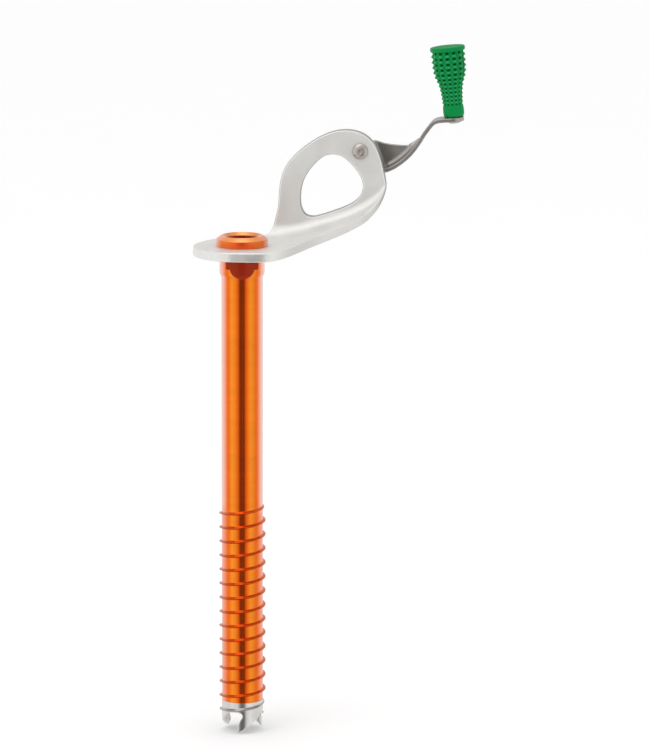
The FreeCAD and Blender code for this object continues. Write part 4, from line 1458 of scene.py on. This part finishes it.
# brightness round the horizon: (degrees from the camera, positive to its right, strength)
SURROUND = [
    (-180.0, 0.74), (-166.0, 0.74), (-148.0, 1.0), (-120.0, 1.0), (-84.0, 1.0), (-66.0, 1.12),
    (-58.0, 1.12), (-44.0, 1.0), (-27.0, 0.98), (-20.0, 0.70), (-13.0, 0.26), (-8.0, 0.17),
    (8.0, 0.17), (13.0, 0.26), (20.0, 0.70), (27.0, 0.98), (38.0, 1.06), (48.0, 1.10),
    (60.0, 0.96), (84.0, 0.96), (120.0, 1.0), (148.0, 1.0), (166.0, 0.74), (180.0, 0.74)]
ABOVE, BELOW, BACKDROP = 0.80, 0.95, 0.955      # strengths overhead, underneath, to the camera
LAMP_ELEVATION = math.radians(90)
LAMP_STRENGTH = 1.6


def make_world():
    """Studio surround: a tent of light, open (dark) where the camera stands."""
    world = bpy.data.worlds.new("studio")
    scene.world = world
    world.use_nodes = True
    graph = Graph(world.node_tree)

    def smooth(value, over, to=(0.0, 1.0)):
        return graph.range(value, over, to, interpolation="SMOOTHSTEP")

    def sine(degrees):
        return math.sin(math.radians(degrees))

    direction = graph.node("ShaderNodeTexCoord").outputs["Generated"]
    to_camera = (math.sin(azimuth), -math.cos(azimuth), 0.0)
    bearing = graph.math("ARCTAN2",
                         graph.vmath("DOT_PRODUCT", direction, tuple(camera_right)),
                         graph.vmath("DOT_PRODUCT", direction, to_camera))
    around = graph.math("ADD", graph.math("DIVIDE", bearing, 2 * math.pi), 0.5)
    # the ramp holds half strengths, doubled after it
    stops = [((degrees + 180.0) / 360.0, strength / 2) for degrees, strength in SURROUND]
    side = graph.times(graph.ramp(around, stops, interpolation="EASE"), 2.0)
    height = graph.vmath("DOT_PRODUCT", direction, (0, 0, 1))
    above = smooth(height, over=(sine(6), sine(30)))
    below = smooth(height, over=(-sine(50), -sine(28)), to=(1.0, 0.0))
    strength = graph.mix_value(above, side, ABOVE)
    # a soft lamp overhead
    lamp_dir = (to_camera[0] * math.cos(LAMP_ELEVATION), to_camera[1] * math.cos(LAMP_ELEVATION),
                math.sin(LAMP_ELEVATION))
    lamp = smooth(graph.vmath("DOT_PRODUCT", direction, lamp_dir),
                  over=(math.cos(math.radians(19)), math.cos(math.radians(8))))
    strength = graph.math("ADD", strength, graph.times(lamp, LAMP_STRENGTH))
    strength = graph.mix_value(below, strength, BELOW)
    camera_ray = graph.node("ShaderNodeLightPath").outputs["Is Camera Ray"]
    strength = graph.mix_value(camera_ray, strength, BACKDROP)
    background = graph.node("ShaderNodeBackground")
    graph.put(background.inputs["Strength"], strength)
    background.inputs["Color"].default_value = (1, 1, 1, 1)
    output = graph.node("ShaderNodeOutputWorld")
    graph.put(output.inputs[0], background.outputs[0])


def make_camera():
    pitch, roll = 0.1879, 0.0025            # radians, pitch downward
    across, height, distance = 0.035752, 0.31046, 1.9088
    data = bpy.data.cameras.new("camera")
    data.sensor_fit = "AUTO"
    data.sensor_width = 36.0
    data.lens = 216.0
    data.clip_start, data.clip_end = 0.05, 20.0
    camera = bpy.data.objects.new("camera", data)
    view = camera_forward * math.cos(pitch) + Vector((0, 0, -math.sin(pitch)))
    camera.rotation_mode = "QUATERNION"
    camera.rotation_quaternion = (view.to_track_quat("-Z", "Y")
                                  @ Matrix.Rotation(roll, 4, "Z").to_quaternion())
    camera.location = camera_right * across - camera_forward * distance + Vector((0, 0, height))
    scene.collection.objects.link(camera)
    scene.camera = camera


make_floor()
make_key_light()
make_world()
make_camera()
scene.view_settings.view_transform = "Standard"
scene.view_settings.look = "None"
